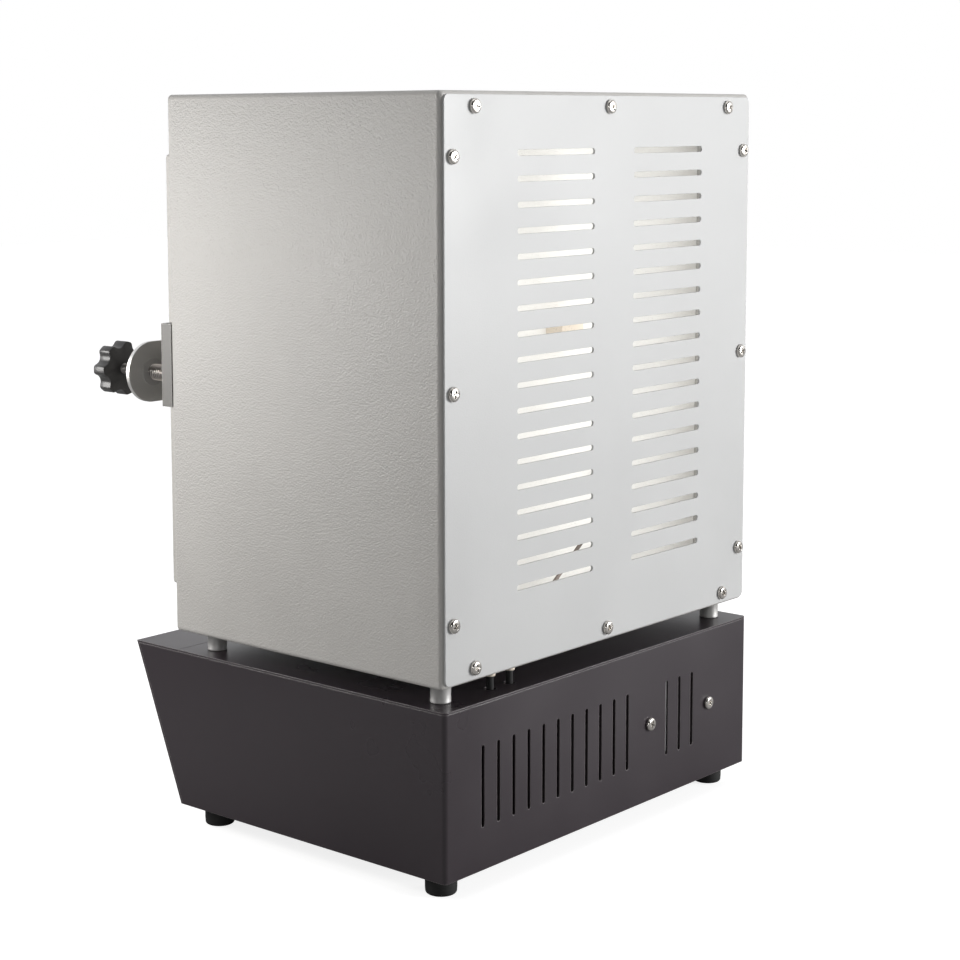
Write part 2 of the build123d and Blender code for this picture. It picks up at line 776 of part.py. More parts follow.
# ---------------------------------------------------------------- door
def door_shell():
    """A folded tray, open towards the casing."""
    size = (2 * door_half, door_high - door_low)
    outer = slab(Pos(0, door_middle) * Rectangle(*size), (door_front_y, door_back_y))
    outer = fillet(outer.edges().filter_by(Axis.Y), door_bend)
    outer = fillet(end_edges(outer, Axis.Y, False), door_front_bend)
    inside = RectangleRounded(
        size[0] - 2 * door_sheet, size[1] - 2 * door_sheet, door_bend - door_sheet
    )
    span = (door_front_y + door_sheet, door_back_y + cutter_overrun)
    hollow = slab(Pos(0, door_middle) * inside, span)
    span = (door_front_y - cutter_overrun, door_back_y)
    stem = rod_y(small_screw_radius + screw_clearance, handle_x, door_middle, span)
    return outer - hollow - stem


def door_brick():
    """The fibre board inside the door and the plug that closes the chamber's mouth."""
    fit = door_sheet + fibre_fit
    front = door_front_y + door_sheet
    board = slab(
        Pos(0, door_middle) * Rectangle(2 * (door_half - fit), door_high - door_low - 2 * fit),
        (front, door_back_y),
    )
    width = chamber_width - 2 * plug_clearance
    height = chamber_height - 2 * plug_clearance
    reach = panel_back_y + plug_reach
    outline = Pos(0, door_middle) * RectangleRounded(width, height, chamber_corner)
    plug = chamfer(end_edges(slab(outline, (door_back_y, reach)), Axis.Y, True), plug_taper)
    span = (front - cutter_overrun, front + 2 * small_head_height)
    return board + plug - rod_y(small_head_radius + fibre_fit, handle_x, door_middle, span)


def door_handle():
    """A moulded pull: a stem that swells into a rounded button."""
    tip = -handle_length
    shoulder = (handle_radius, -handle_neck_length)
    stem = Polyline(
        (0, 0),
        (handle_stem_radius + handle_foot_flare, 0),
        (handle_stem_radius, -handle_stem_length),
        shoulder,
    )
    rise = handle_length - handle_neck_length
    crown_radius = (handle_radius ** 2 + rise ** 2) / (2 * rise)
    half_turn = math.asin(handle_radius / crown_radius) / 2
    crest = (
        crown_radius * math.sin(half_turn),
        tip + crown_radius * (1 - math.cos(half_turn)),
    )
    crown = ThreePointArc(shoulder, crest, (0, tip))
    face = make_face(stem + crown + Line((0, tip), (0, 0)))
    turned = revolve(Plane.XY * face, axis=Axis.Y)
    bore = rod_y(small_screw_radius + tapped_clearance, 0, 0, (-small_screw_length, cutter_overrun))
    return Pos(handle_x, door_front_y, door_middle) * (turned - bore)


def handle_screw():
    """From inside the door, through the sheet, into the handle's foot."""
    screw = pan_screw(small_screw_radius, small_head_radius, small_head_height, small_screw_length)
    return Pos(handle_x, door_front_y + door_sheet, door_middle) * Rot(-90, 0, 0) * screw


def hinge_heights():
    return (door_middle - hinge_spacing / 2, door_middle + hinge_spacing / 2)


def hinge_bracket(z):
    """A foot on the casing's front with two ears for the pin."""
    half = hinge_barrel_length / 2 + hinge_ear_gap + hinge_ear
    left = -casing_width / 2 + hinge_foot_inset
    right = hinge_x + hinge_barrel_radius
    foot_front_y = front_y - hinge_base_thickness
    foot = block((left, right), (foot_front_y, front_y), (z - half, z + half))
    root = Pos((left + right) / 2, front_y - hinge_base_thickness / 2)
    ear = make_hull(
        (Pos(hinge_x, hinge_y) * Circle(hinge_barrel_radius)).edges()
        + (root * Rectangle(right - left, hinge_base_thickness)).edges()
    )
    ears = Pos(0, 0, z - half) * extrude(ear, amount=hinge_ear)
    ears += Pos(0, 0, z + half - hinge_ear) * extrude(ear, amount=hinge_ear)
    body = foot + ears - hinge_bore(z, half)
    for side in (-0.5, 0.5):
        span = (foot_front_y - cutter_overrun, front_y + cutter_overrun)
        hole_z = z + side * hinge_screw_spacing
        body -= rod_y(small_screw_radius + screw_clearance, hinge_x, hole_z, span)
    return body


def hinge_bore(z, half):
    """The running bore for the pin, right through a hinge piece."""
    span = (z - half - cutter_overrun, z + half + cutter_overrun)
    return rod_z(hinge_pin_radius + hinge_pin_clearance, hinge_x, hinge_y, span)


def hinge_pin(z):
    """A headed pin down through both ears."""
    half = hinge_barrel_length / 2 + hinge_ear_gap + hinge_ear
    shank = rod_z(hinge_pin_radius, hinge_x, hinge_y, (z - half - hinge_ear / 2, z + half))
    return shank + rod_z(hinge_pin_head, hinge_x, hinge_y, (z + half, z + half + hinge_ear / 2))


def hinge_lug(z):
    """A strap on the door's edge with the barrel that turns on the pin."""
    half = hinge_barrel_length / 2
    barrel = rod_z(hinge_barrel_radius, hinge_x, hinge_y, (z - half, z + half))
    edge = -door_half
    height = (z - hinge_strap_height / 2, z + hinge_strap_height / 2)
    strap = block(
        (edge - hinge_strap, edge),
        (door_front_y + door_bend + hinge_strap_margin, door_back_y - hinge_strap_margin),
        height,
    )
    web = block((hinge_x, edge), (hinge_y - hinge_strap / 2, hinge_y + hinge_strap / 2), height)
    return barrel + web + strap - hinge_bore(z, half)


def hinge_screws():
    length = hinge_base_thickness + casing_sheet + front_plate_thickness
    screw = pan_screw(small_screw_radius, small_head_radius, small_head_height, length)
    y = front_y - hinge_base_thickness
    heights = [z + side * hinge_screw_spacing for z in hinge_heights() for side in (-0.5, 0.5)]
    return together(Pos(hinge_x, y, z) * Rot(90, 0, 0) * screw for z in heights)


# ---------------------------------------------------------------- latch
def latch_bracket():
    """A steel bar flush with the casing's side, drilled for the stud and its screws."""
    high_side = casing_width / 2
    middle = stud_z + latch_bar_rise
    bar = block(
        (high_side - latch_bar_width, high_side),
        (front_y - latch_bar_depth, front_y),
        (middle - latch_bar_height / 2, middle + latch_bar_height / 2),
    )
    bar = chamfer(end_edges(bar, Axis.Y, False), latch_bar_edge)
    span = (front_y - latch_bar_depth - cutter_overrun, front_y + cutter_overrun)
    bar -= rod_y(stud_radius + stud_clearance, stud_x, stud_z, span)
    for z in latch_screw_heights():
        bar -= countersunk(z, screw_clearance)
    return bar


def latch_screw_heights():
    middle = stud_z + latch_bar_rise
    return (middle - latch_screw_spacing / 2, middle + latch_screw_spacing / 2)


def countersunk(z, grow):
    """A countersunk screw in the bar's face; grown a little it cuts its own hole."""
    head = screw_head_radius + grow
    shank = small_screw_radius + grow
    depth = screw_head_radius - small_screw_radius
    cone = Rot(90, 0, 0) * Pos(0, 0, -depth / 2) * Cone(shank, head, depth)
    stem = rod_y(shank, 0, 0, (0, latch_bar_depth + casing_sheet + front_plate_thickness))
    return Pos(stud_x, front_y - latch_bar_depth, z) * (cone + stem)


def latch_screws():
    return together(countersunk(z, 0) for z in latch_screw_heights())


def latch_stud():
    """The knob's stud, which screws through the bar; its thread is left to the finish."""
    stud = rod_y(stud_radius, stud_x, stud_z, (stud_tip_y, stud_end_y))
    return chamfer(end_edges(stud, Axis.Y, True), stud_end_edge)


def latch_spring():
    """A compression spring: one round wire, four tangent arcs to a turn."""
    length = clamp_back_y + washer_thickness
    near = front_y - latch_bar_depth - seat_gap - spring_wire_radius
    far = length + seat_gap + spring_wire_radius
    rise = (near - far) / (4 * spring_turns)
    half_turn = math.pi / 4
    chord = 2 * spring_radius * math.sin(half_turn)
    lean = chord / math.hypot(chord, rise)
    bulge = math.hypot(chord, rise) / 2 * math.tan(math.atan(lean * math.tan(half_turn)) / 2)
    crest = spring_radius * math.cos(half_turn) + bulge
    arcs = []
    for quarter in range(4 * spring_turns):
        turn = 2 * half_turn * quarter
        start, middle, end = (turn, turn + half_turn, turn + 2 * half_turn)
        arcs.append(
            ThreePointArc(
                (spring_radius * math.cos(start), spring_radius * math.sin(start), rise * quarter),
                (crest * math.cos(middle), crest * math.sin(middle), rise * (quarter + 0.5)),
                (spring_radius * math.cos(end), spring_radius * math.sin(end), rise * (quarter + 1)),
            )
        )
    path = Wire(arcs)
    report_spring_gap(path)
    return Pos(stud_x, near, stud_z) * Rot(90, 0, 0) * wire_along(path, spring_wire_radius)


def report_spring_gap(path):
    """Prints the spring's least gap to itself, measured on points along its wire."""
    samples = 24 * spring_turns
    points = [path @ (n / samples) for n in range(samples + 1)]
    near_turn = samples // (2 * spring_turns)
    least = min(
        (points[i] - points[j]).length
        for i in range(len(points))
        for j in range(i + near_turn, len(points))
    )
    print("spring: least gap to itself", round(least - 2 * spring_wire_radius, 2), "mm")


def clamp_plate():
    """A plate, half round outside the stud and straight on its inner edge."""
    size = 2 * clamp_radius
    outline = Circle(clamp_radius) - Pos(-clamp_radius, 0) * Rectangle(size, size)
    inner = Pos(-clamp_flat / 2, 0) * Rectangle(clamp_flat, 2 * clamp_radius)
    inner = fillet(inner.vertices().group_by(Axis.X)[0], clamp_corner)
    outline = outline + inner - Circle(stud_radius + clamp_hole_clearance)
    plate = Pos(stud_x, 0, stud_z) * slab(outline, (clamp_front_y, clamp_back_y))
    return plate


def washer(y):
    """A plain washer round the stud, from y towards the casing."""
    ring = Circle(washer_radius) - Circle(stud_radius + washer_clearance)
    return Pos(stud_x, 0, stud_z) * slab(ring, (y, y + washer_thickness))


def star_knob():
    """Seven lobes, one of them pointing straight out, bored from behind for the stud."""
    star = Circle(knob_radius)
    scallop = Pos(knob_radius + knob_scallop_radius / 3, 0) * Circle(knob_scallop_radius)
    for lobe in range(knob_lobes):
        star -= Rot(0, 0, 360 / knob_lobes * (lobe + 0.5)) * scallop
    star = fillet(star.vertices(), knob_lobe_corner)
    head = slab(star, (knob_front_y, knob_back_y))
    head = chamfer(end_edges(head, Axis.Y, False), knob_edge)
    span = (knob_back_y - knob_bore_depth, knob_back_y + cutter_overrun)
    return Pos(stud_x, 0, stud_z) * head - rod_y(stud_radius + stud_clearance, stud_x, stud_z, span)


# ---------------------------------------------------------------- controls
def on_panel(shape, x=0.0, y=0.0):
    """Places a shape on the sloping front panel, its +Z pointing out of the face."""
    return panel_plane * Pos(x, y, 0) * shape


def button_x(index):
    return (index - (len(button_names) - 1) / 2) * button_spacing


def controller_case():
    """The temperature controller: a square bezel in front of a box through the panel."""
    face = RectangleRounded(controller_size, controller_size, controller_corner)
    bezel = extrude(face, amount=controller_bezel)
    bezel = chamfer(end_edges(bezel, Axis.Z, True), controller_edge)
    body = Box(controller_body, controller_body, controller_body_depth)
    body = Pos(0, 0, -controller_body_depth / 2) * body
    recess = Box(window_width + 2 * window_fit, window_height + 2 * window_fit, 2 * window_depth)
    case = bezel + body - Pos(0, window_rise, controller_bezel) * recess
    well = RectangleRounded(
        button_width + 2 * button_clearance, button_height + 2 * button_clearance, button_corner
    )
    well = extrude(well, amount=button_well)
    for index in range(len(button_names)):
        case -= Pos(button_x(index), -button_drop, controller_bezel - button_well) * well
    return on_panel(case)


def controller_window():
    """The smoked window over the display."""
    pane = Box(window_width, window_height, window_depth)
    return on_panel(Pos(0, window_rise, controller_bezel - window_depth / 2) * pane)


def controller_button(index):
    """A push button in its well, standing a little proud."""
    height = button_proud + button_sunk
    cap = extrude(RectangleRounded(button_width, button_height, button_corner), amount=height)
    cap = chamfer(end_edges(cap, Axis.Z, True), button_edge)
    return on_panel(Pos(button_x(index), -button_drop, controller_bezel - button_sunk) * cap)


def switch_body():
    """The power switch's frame and box, open at the front for its rocker."""
    frame = RectangleRounded(switch_width, switch_height, switch_corner)
    frame = extrude(frame, amount=switch_bezel)
    less = 2 * (switch_wall + panel_fit)
    body = Box(switch_width - less, switch_height - less, switch_body_depth)
    cavity = Box(
        rocker_width + 2 * rocker_side_gap,
        rocker_height + 2 * rocker_clearance,
        2 * switch_cavity_depth,
    )
    shape = frame + Pos(0, 0, -switch_body_depth / 2) * body - cavity
    axle_length = rocker_width + 2 * (trunnion_length + rocker_side_gap)
    axle = Rot(0, 90, 0) * Cylinder(trunnion_radius + trunnion_clearance, axle_length)
    shape -= Pos(0, 0, -rocker_pivot_depth) * axle
    return on_panel(shape, switch_x)


def switch_rocker():
    """A dished rocker on two trunnions, tilted to its off side."""
    half = rocker_height / 2
    profile = Polygon(
        (-half, -rocker_below),
        (half, -rocker_below),
        (half, rocker_rise),
        (0, rocker_dip),
        (-half, rocker_rise),
        align=None,
    )
    paddle = Pos(-rocker_width / 2, 0, 0) * extrude(Plane.YZ * profile, amount=rocker_width)
    axle = Rot(0, 90, 0) * Cylinder(trunnion_radius, rocker_width + 2 * trunnion_length)
    rocker = Pos(0, 0, rocker_pivot_depth) * paddle + axle
    return on_panel(Pos(0, 0, -rocker_pivot_depth) * Rot(-rocker_tilt, 0, 0) * rocker, switch_x)


def lamp_bezel():
    """The pilot lamp's ring and body."""
    ring = extrude(Circle(lamp_bezel_radius), amount=lamp_bezel_height)
    ring = chamfer(end_edges(ring, Axis.Z, True), lamp_bezel_edge)
    body = Pos(0, 0, -lamp_body_depth / 2) * Cylinder(lamp_radius, lamp_body_depth)
    bore = Pos(0, 0, lamp_bezel_height / 2) * Cylinder(lamp_radius - lamp_wall, lamp_bezel_height)
    return on_panel(ring + body - bore, lamp_x)


def lamp_lens():
    """The domed lens in the ring."""
    lens = extrude(Circle(lamp_radius - lamp_wall - panel_fit), amount=lamp_dome)
    lens = fillet(end_edges(lens, Axis.Z, True), lamp_dome * lamp_dome_share)
    return on_panel(lens, lamp_x)


# ---------------------------------------------------------------- inside the base
def heat_sink():
    """A finned sink behind the narrow slots, its two lugs against the base's back."""
    left, right = sink_screw_places()
    middle = (left + right) / 2
    back = base_back_y - base_sheet
    low = base_middle_z - sink_height / 2
    high = base_middle_z + sink_height / 2
    front = back - sink_depth
    width = (middle - sink_width / 2, middle + sink_width / 2)
    sink = block(width, (front, front + sink_base), (low, high))
    for x in (left, right):
        sink += block((x - sink_lug / 2, x + sink_lug / 2), (front, back), (low, high))
    clear = sink_screw_spacing - sink_lug
    pitch = clear / (sink_fins + 1)
    for fin in range(sink_fins):
        x = middle - clear / 2 + (fin + 1) * pitch
        sink += block((x - sink_fin / 2, x + sink_fin / 2), (front, back - sink_base), (low, high))
    span = (back - screw_length - sink_fin, back + cutter_overrun)
    for x in (left, right):
        sink -= rod_y(screw_radius + tapped_clearance, x, base_middle_z, span)
    return sink


def solid_state_relay():
    """The relay on the sink, with its four terminal pockets."""
    left, right = sink_screw_places()
    middle = (left + right) / 2
    back = base_back_y - base_sheet - sink_depth
    body = block(
        (middle - relay_width / 2, middle + relay_width / 2), (back - relay_depth, back),
        (base_middle_z - relay_height / 2, base_middle_z + relay_height / 2),
    )
    body = chamfer(body.edges().filter_by(Axis.Y), relay_corner)
    for side in (-1, 1):
        for end in (-1, 1):
            x = middle + side * (relay_width / 2 - relay_terminal)
            z = base_middle_z + end * (relay_height / 2 - relay_terminal / 2)
            body -= Pos(x, back - relay_depth, z) * Box(relay_terminal, relay_terminal, relay_terminal)
    return body


def terminal_block():
    """A barrier strip on the bottom plate."""
    width = terminal_ways * terminal_pitch + terminal_fin
    floor = base_bottom + base_sheet
    strip = block(
        (terminal_x - width / 2, terminal_x + width / 2),
        (terminal_y - terminal_depth / 2, terminal_y + terminal_depth / 2),
        (floor, floor + terminal_height),
    )
    for way in range(terminal_ways):
        x = terminal_x - width / 2 + terminal_fin + way * terminal_pitch
        strip -= block(
            (x, x + terminal_pitch - terminal_fin),
            (terminal_y - terminal_depth, terminal_y + terminal_depth),
            (floor + terminal_floor, floor + terminal_height + cutter_overrun),
        )
    return strip


def mains_inlet():
    """The three-pin inlet in the base's -X side; its socket faces -X."""
    half = base_width / 2
    flange = RectangleRounded(inlet_flange_width, inlet_flange_height, inlet_corner)
    flange = extrude(flange, amount=inlet_flange)
    body = Box(inlet_body_width, inlet_body_height, inlet_body_depth)
    shape = flange + Pos(0, 0, -inlet_body_depth / 2) * body
    socket = RectangleRounded(inlet_socket_width, inlet_socket_height, inlet_corner)
    socket = extrude(socket, amount=inlet_socket_depth + cutter_overrun)
    shape -= Pos(0, 0, inlet_flange - inlet_socket_depth) * socket
    pin = Box(inlet_pin_thickness, inlet_pin_width, inlet_pin_length)
    z = inlet_flange - inlet_socket_depth + inlet_pin_length / 2
    for x in (-inlet_pin_spacing, inlet_pin_spacing):
        shape += Pos(x, -inlet_outer_pin_drop, z) * pin
    shape += Pos(0, inlet_middle_pin_rise, z) * pin
    hole = Cylinder(small_screw_radius + screw_clearance, 4 * inlet_flange)
    for side in (-0.5, 0.5):
        shape -= Pos(side * inlet_screw_spacing, 0, 0) * hole
    face = Plane(origin=(-half, inlet_y, base_middle_z), x_dir=(0, -1, 0), z_dir=(-1, 0, 0))
    return face * shape


# ---------------------------------------------------------------- the kiln's sub-parts
save("casing_shell", casing_shell())
save("back_cover", back_cover())
save("back_cover_screws", back_cover_screws())
save("front_plate", front_plate())
save("muffle", muffle())
save("heating_element", heating_element())
save("insulation_floor", insulation_floor())
save("insulation_roof", fibre_block((-fibre_half_width, fibre_half_width), (heart_high, fibre_high)))
save("insulation_walls", insulation_walls())
save("insulation_rear", insulation_rear())
save("thermocouple", thermocouple())
save("lead_bushings", lead_bushings())
save("spacer_posts", spacer_posts())
save("post_bolts", post_bolts())
save("base_shell", base_shell())
save("base_top_plate", base_top_plate())
save("base_front_panel", base_front_panel())
save("base_bottom_plate", base_bottom_plate())
save("feet", feet())
save("foot_screws", foot_screws())
save("base_back_screws", base_back_screws())
save("door_shell", door_shell())
save("door_brick", door_brick())
save("door_handle", door_handle())
save("handle_screw", handle_screw())
save("hinge_brackets", together(hinge_bracket(z) for z in hinge_heights()))
save("hinge_pins", together(hinge_pin(z) for z in hinge_heights()))
save("hinge_lugs", together(hinge_lug(z) for z in hinge_heights()))
save("hinge_screws", hinge_screws())
save("latch_bracket", latch_bracket())
save("latch_screws", latch_screws())
save("latch_stud", latch_stud())
save("latch_spring", latch_spring())
save("clamp_plate", clamp_plate())
save("spring_washer", washer(clamp_back_y))
save("star_knob", star_knob())
save("controller_case", controller_case())
save("controller_window", controller_window())
for number, name in enumerate(button_names):
    save(name, controller_button(number))
save("switch_body", switch_body())
save("switch_rocker", switch_rocker())
save("lamp_bezel", lamp_bezel())
save("lamp_lens", lamp_lens())
save("heat_sink", heat_sink())
save("solid_state_relay", solid_state_relay())
save("terminal_block", terminal_block())
save("mains_inlet", mains_inlet())
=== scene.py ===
# %% [markdown]
# # Dressing a jewellery kiln
# The kiln arrives as a finished CAD frame: every sheet, brick and shaft is in place and in metres.
# This lesson gives that frame its real surfaces, and swaps the small plain solids, such as screws, feet,
# the spring and the knob, for fuller pieces. Nothing is moved: each new piece is built where its solid
# was.

# %% Load the frame
import json
import math

import bmesh
import bpy
import numpy as np
from mathutils import Matrix, Vector


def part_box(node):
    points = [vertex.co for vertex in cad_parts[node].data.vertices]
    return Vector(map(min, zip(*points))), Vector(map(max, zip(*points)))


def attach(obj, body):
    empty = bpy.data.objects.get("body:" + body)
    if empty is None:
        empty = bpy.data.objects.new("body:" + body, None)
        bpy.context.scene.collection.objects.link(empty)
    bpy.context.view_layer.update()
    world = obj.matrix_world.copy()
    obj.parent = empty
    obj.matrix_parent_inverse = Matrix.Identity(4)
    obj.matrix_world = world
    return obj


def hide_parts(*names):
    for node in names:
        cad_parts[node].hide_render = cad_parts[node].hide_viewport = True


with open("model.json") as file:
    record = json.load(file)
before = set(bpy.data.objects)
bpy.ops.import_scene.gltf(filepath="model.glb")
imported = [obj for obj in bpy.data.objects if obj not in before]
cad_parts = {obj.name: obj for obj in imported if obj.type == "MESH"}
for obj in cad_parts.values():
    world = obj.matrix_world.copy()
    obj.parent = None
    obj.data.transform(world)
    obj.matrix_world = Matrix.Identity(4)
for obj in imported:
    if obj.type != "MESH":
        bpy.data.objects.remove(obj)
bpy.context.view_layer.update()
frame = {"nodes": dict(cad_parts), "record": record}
nodes = frame["nodes"]
scene = bpy.context.scene

# %% [markdown]
# ## The camera
# The kiln is seen from behind, turned so that its latch side fills the left and its slotted cover the
# right, a little from above. The vertical edges stay nearly parallel, which means a long lens with a
# shift, as a product photographer uses. So the camera is set by its angles and place, not by aiming.

# %% Set up the camera
camera_turn = math.radians(131.44)
camera_rise = math.radians(6.72)
camera_roll = math.radians(-0.23)
camera_place = (1.1333, 0.99315, 0.4944)
focal_length = 78.22
sensor_width = 36
lens_shift = (0.0614, -0.1148)

backward = Vector((
    math.sin(camera_turn) * math.cos(camera_rise),
    -math.cos(camera_turn) * math.cos(camera_rise),
    math.sin(camera_rise),
))
level_right = Vector((0, 0, 1)).cross(backward).normalized()
level_up = backward.cross(level_right)
right = level_right * math.cos(camera_roll) + level_up * math.sin(camera_roll)
upward = level_up * math.cos(camera_roll) - level_right * math.sin(camera_roll)
axes = Matrix((right, upward, backward)).transposed().to_4x4()

lens = bpy.data.cameras.new("studio_camera")
lens.lens = focal_length
lens.sensor_width = sensor_width
lens.shift_x, lens.shift_y = lens_shift
camera = bpy.data.objects.new("studio_camera", lens)
camera.matrix_world = Matrix.Translation(camera_place) @ axes
scene.collection.objects.link(camera)
scene.camera = camera
print("camera at", tuple(round(v, 3) for v in camera.location))

# %% [markdown]
# ## Floor and light
# The kiln stands on pale paper, overexposed to white as in a catalogue picture. A wide low lamp lights
# the slotted cover evenly. A second stands close to the door end, so the latch side is brightest at its
# top front corner and falls off towards the cover. Two weak ones, beside the camera and overhead, open
# the shadows, and one inside the rear cavity shows the white insulation through the slots. The world is
# bright behind the kiln and dim on the camera's side, which draws the bends and the screw heads.

# %% Lay the floor
def link(name, mesh):
    """Puts a mesh into the scene as an object at the origin."""
    made = bpy.data.objects.new(name, mesh)
    scene.collection.objects.link(made)
    return made


paper_size = 12.0
paper_grey = 0.42
paper_glow = 0.82            # seen by the camera only
paper_mesh = bpy.data.meshes.new("paper_floor")
half = paper_size / 2
paper_mesh.from_pydata(
    [(-half, -half, 0), (half, -half, 0), (half, half, 0), (-half, half, 0)], [], [(0, 1, 2, 3)]
)
paper = link("paper_floor", paper_mesh)
paper_look = bpy.data.materials.new("white_paper")
paper_look.use_nodes = True
paper_shader = paper_look.node_tree.nodes["Principled BSDF"]
paper_shader.inputs["Base Color"].default_value = (paper_grey, paper_grey, paper_grey, 1)
paper_shader.inputs["Roughness"].default_value = 0.95
paper_shader.inputs["Specular IOR Level"].default_value = 0.1
paper_shader.inputs["Emission Color"].default_value = (1, 1, 1, 1)
seen = paper_look.node_tree.nodes.new("ShaderNodeLightPath").outputs["Is Camera Ray"]
burnt_out = paper_look.node_tree.nodes.new("ShaderNodeMath")
burnt_out.operation = "MULTIPLY"
burnt_out.inputs[1].default_value = paper_glow
paper_look.node_tree.links.new(seen, burnt_out.inputs[0])
paper_look.node_tree.links.new(burnt_out.outputs[0], paper_shader.inputs["Emission Strength"])
paper_mesh.materials.append(paper_look)
print("floor", paper_size, "m across")

# %% Hang the lamps
def softbox(name, place, aim, size, power, tint=(1, 1, 1)):
    """A soft lamp of a width and height at a place, facing a point."""
    light = bpy.data.lights.new(name, "AREA")
    light.shape = "RECTANGLE"
    light.size, light.size_y = size
    light.energy = power
    light.color = tint
    lamp = bpy.data.objects.new(name, light)
    lamp.location = place
    lamp.rotation_euler = (Vector(aim) - Vector(place)).to_track_quat("-Z", "Y").to_euler()
    lamp.visible_camera = False
    scene.collection.objects.link(lamp)
    return lamp


softbox("cover_softbox", (-1.6, 2.25, 0.62), (0, 0.16, 0.3), (1.2, 0.8), 70)
softbox("side_softbox", (0.50, -0.36, 0.39), (0.17, -0.06, 0.32), (0.26, 0.26), 2.2, (1.0, 0.985, 0.965))
softbox("camera_softbox", (1.45, 0.99, 0.52), (0, 0.1, 0.3), (0.25, 0.2), 2.4)
softbox("top_softbox", (0.1, 0.1, 2.4), (0, 0, 0.3), (1.4, 1.4), 6)
softbox("vent_lamp", (0, 0.1545, 0.33), (0, 0.1, 0.33), (0.33, 0.36), 0.29)

fade_from, fade_to = -0.35, 0.6          # from straight away from the camera to towards it
strength_behind, strength_in_front = 0.85, 0.06
world = bpy.data.worlds.new("studio_white")
scene.world = world
world.use_nodes = True
sky = world.node_tree
sky.nodes.clear()
toward = sky.nodes.new("ShaderNodeVectorMath")
toward.operation = "DOT_PRODUCT"
toward.inputs[1].default_value = backward
sky.links.new(sky.nodes.new("ShaderNodeTexCoord").outputs["Generated"], toward.inputs[0])
fade = sky.nodes.new("ShaderNodeMapRange")
fade_values = (fade_from, fade_to, strength_behind, strength_in_front)
for title, value in zip(("From Min", "From Max", "To Min", "To Max"), fade_values):
    fade.inputs[title].default_value = value
sky.links.new(toward.outputs["Value"], fade.inputs["Value"])
fill_white = sky.nodes.new("ShaderNodeBackground")
fill_white.inputs["Color"].default_value = (0.98, 0.985, 1, 1)
sky.links.new(fade.outputs[0], fill_white.inputs["Strength"])
seen_white = sky.nodes.new("ShaderNodeBackground")
seen_white.inputs["Color"].default_value = (1, 1, 1, 1)
which = sky.nodes.new("ShaderNodeMixShader")
rays = sky.nodes.new("ShaderNodeLightPath")
sky_out = sky.nodes.new("ShaderNodeOutputWorld")
sky.links.new(rays.outputs["Is Camera Ray"], which.inputs["Fac"])
sky.links.new(fill_white.outputs[0], which.inputs[1])
sky.links.new(seen_white.outputs[0], which.inputs[2])
sky.links.new(which.outputs[0], sky_out.inputs["Surface"])
scene.view_settings.view_transform = "Standard"

# %% [markdown]
# ## Finishes
# Most of the kiln is sheet steel under powder coat. Up close a powder coat isn't smooth: it has a fine
# orange-peel grain, slightly uneven colour, and it wears thin on folded edges. One recipe covers that
# and the other surfaces too. Large noise shifts the colour and gloss a little, fine noise raises the
# grain, and a Bevel node rounds sharp edges in the light and marks where they rub. All patterns read
# Object coordinates, so they are in real metres and stay fixed to each piece.

# %% The recipe for a finish
def wire(tree, kind, links=(), **settings):
    """Adds a shader node, sets its values by socket name, and links what feeds it."""
    made = tree.nodes.new(kind)
    for name, value in settings.items():
        made.inputs[name.replace("_", " ")].default_value = value
    for name, source in links:
        tree.links.new(source, made.inputs[name])
    return made


def blend_colour(tree, share, first, second):
    """Mixes two colours by a share; each is a fixed colour or a socket."""
    mix = tree.nodes.new("ShaderNodeMix")
    mix.data_type = "RGBA"
    tree.links.new(share, mix.inputs[0])
    for slot, colour in ((6, first), (7, second)):
        if isinstance(colour, tuple):
            mix.inputs[slot].default_value = (*colour, 1)
        else:
            tree.links.new(colour, mix.inputs[slot])
    return mix.outputs[2]


def stretch(tree, source, low, high, to_low, to_high):
    """Maps a value from one range to another."""
    spread = tree.nodes.new("ShaderNodeMapRange")
    tree.links.new(source, spread.inputs["Value"])
    for name, value in (("From Min", low), ("From Max", high), ("To Min", to_low), ("To Max", to_high)):
        spread.inputs[name].default_value = value
    return spread.outputs[0]


noise_band = (0.3, 0.7)          # the part of a broad noise that makes a difference
speck_band = (0.62, 0.8)         # the peaks of the fine noise, which make specks
speck_shade = 0.45
speck_strength = 6
rub_band = (0.995, 0.86)         # agreement of the rounded and the flat normal, at a face and at an edge
rim_band = (0.6, 0.4)            # how far a normal lies along Y, on a face and on a rim
bevel_samples = 4


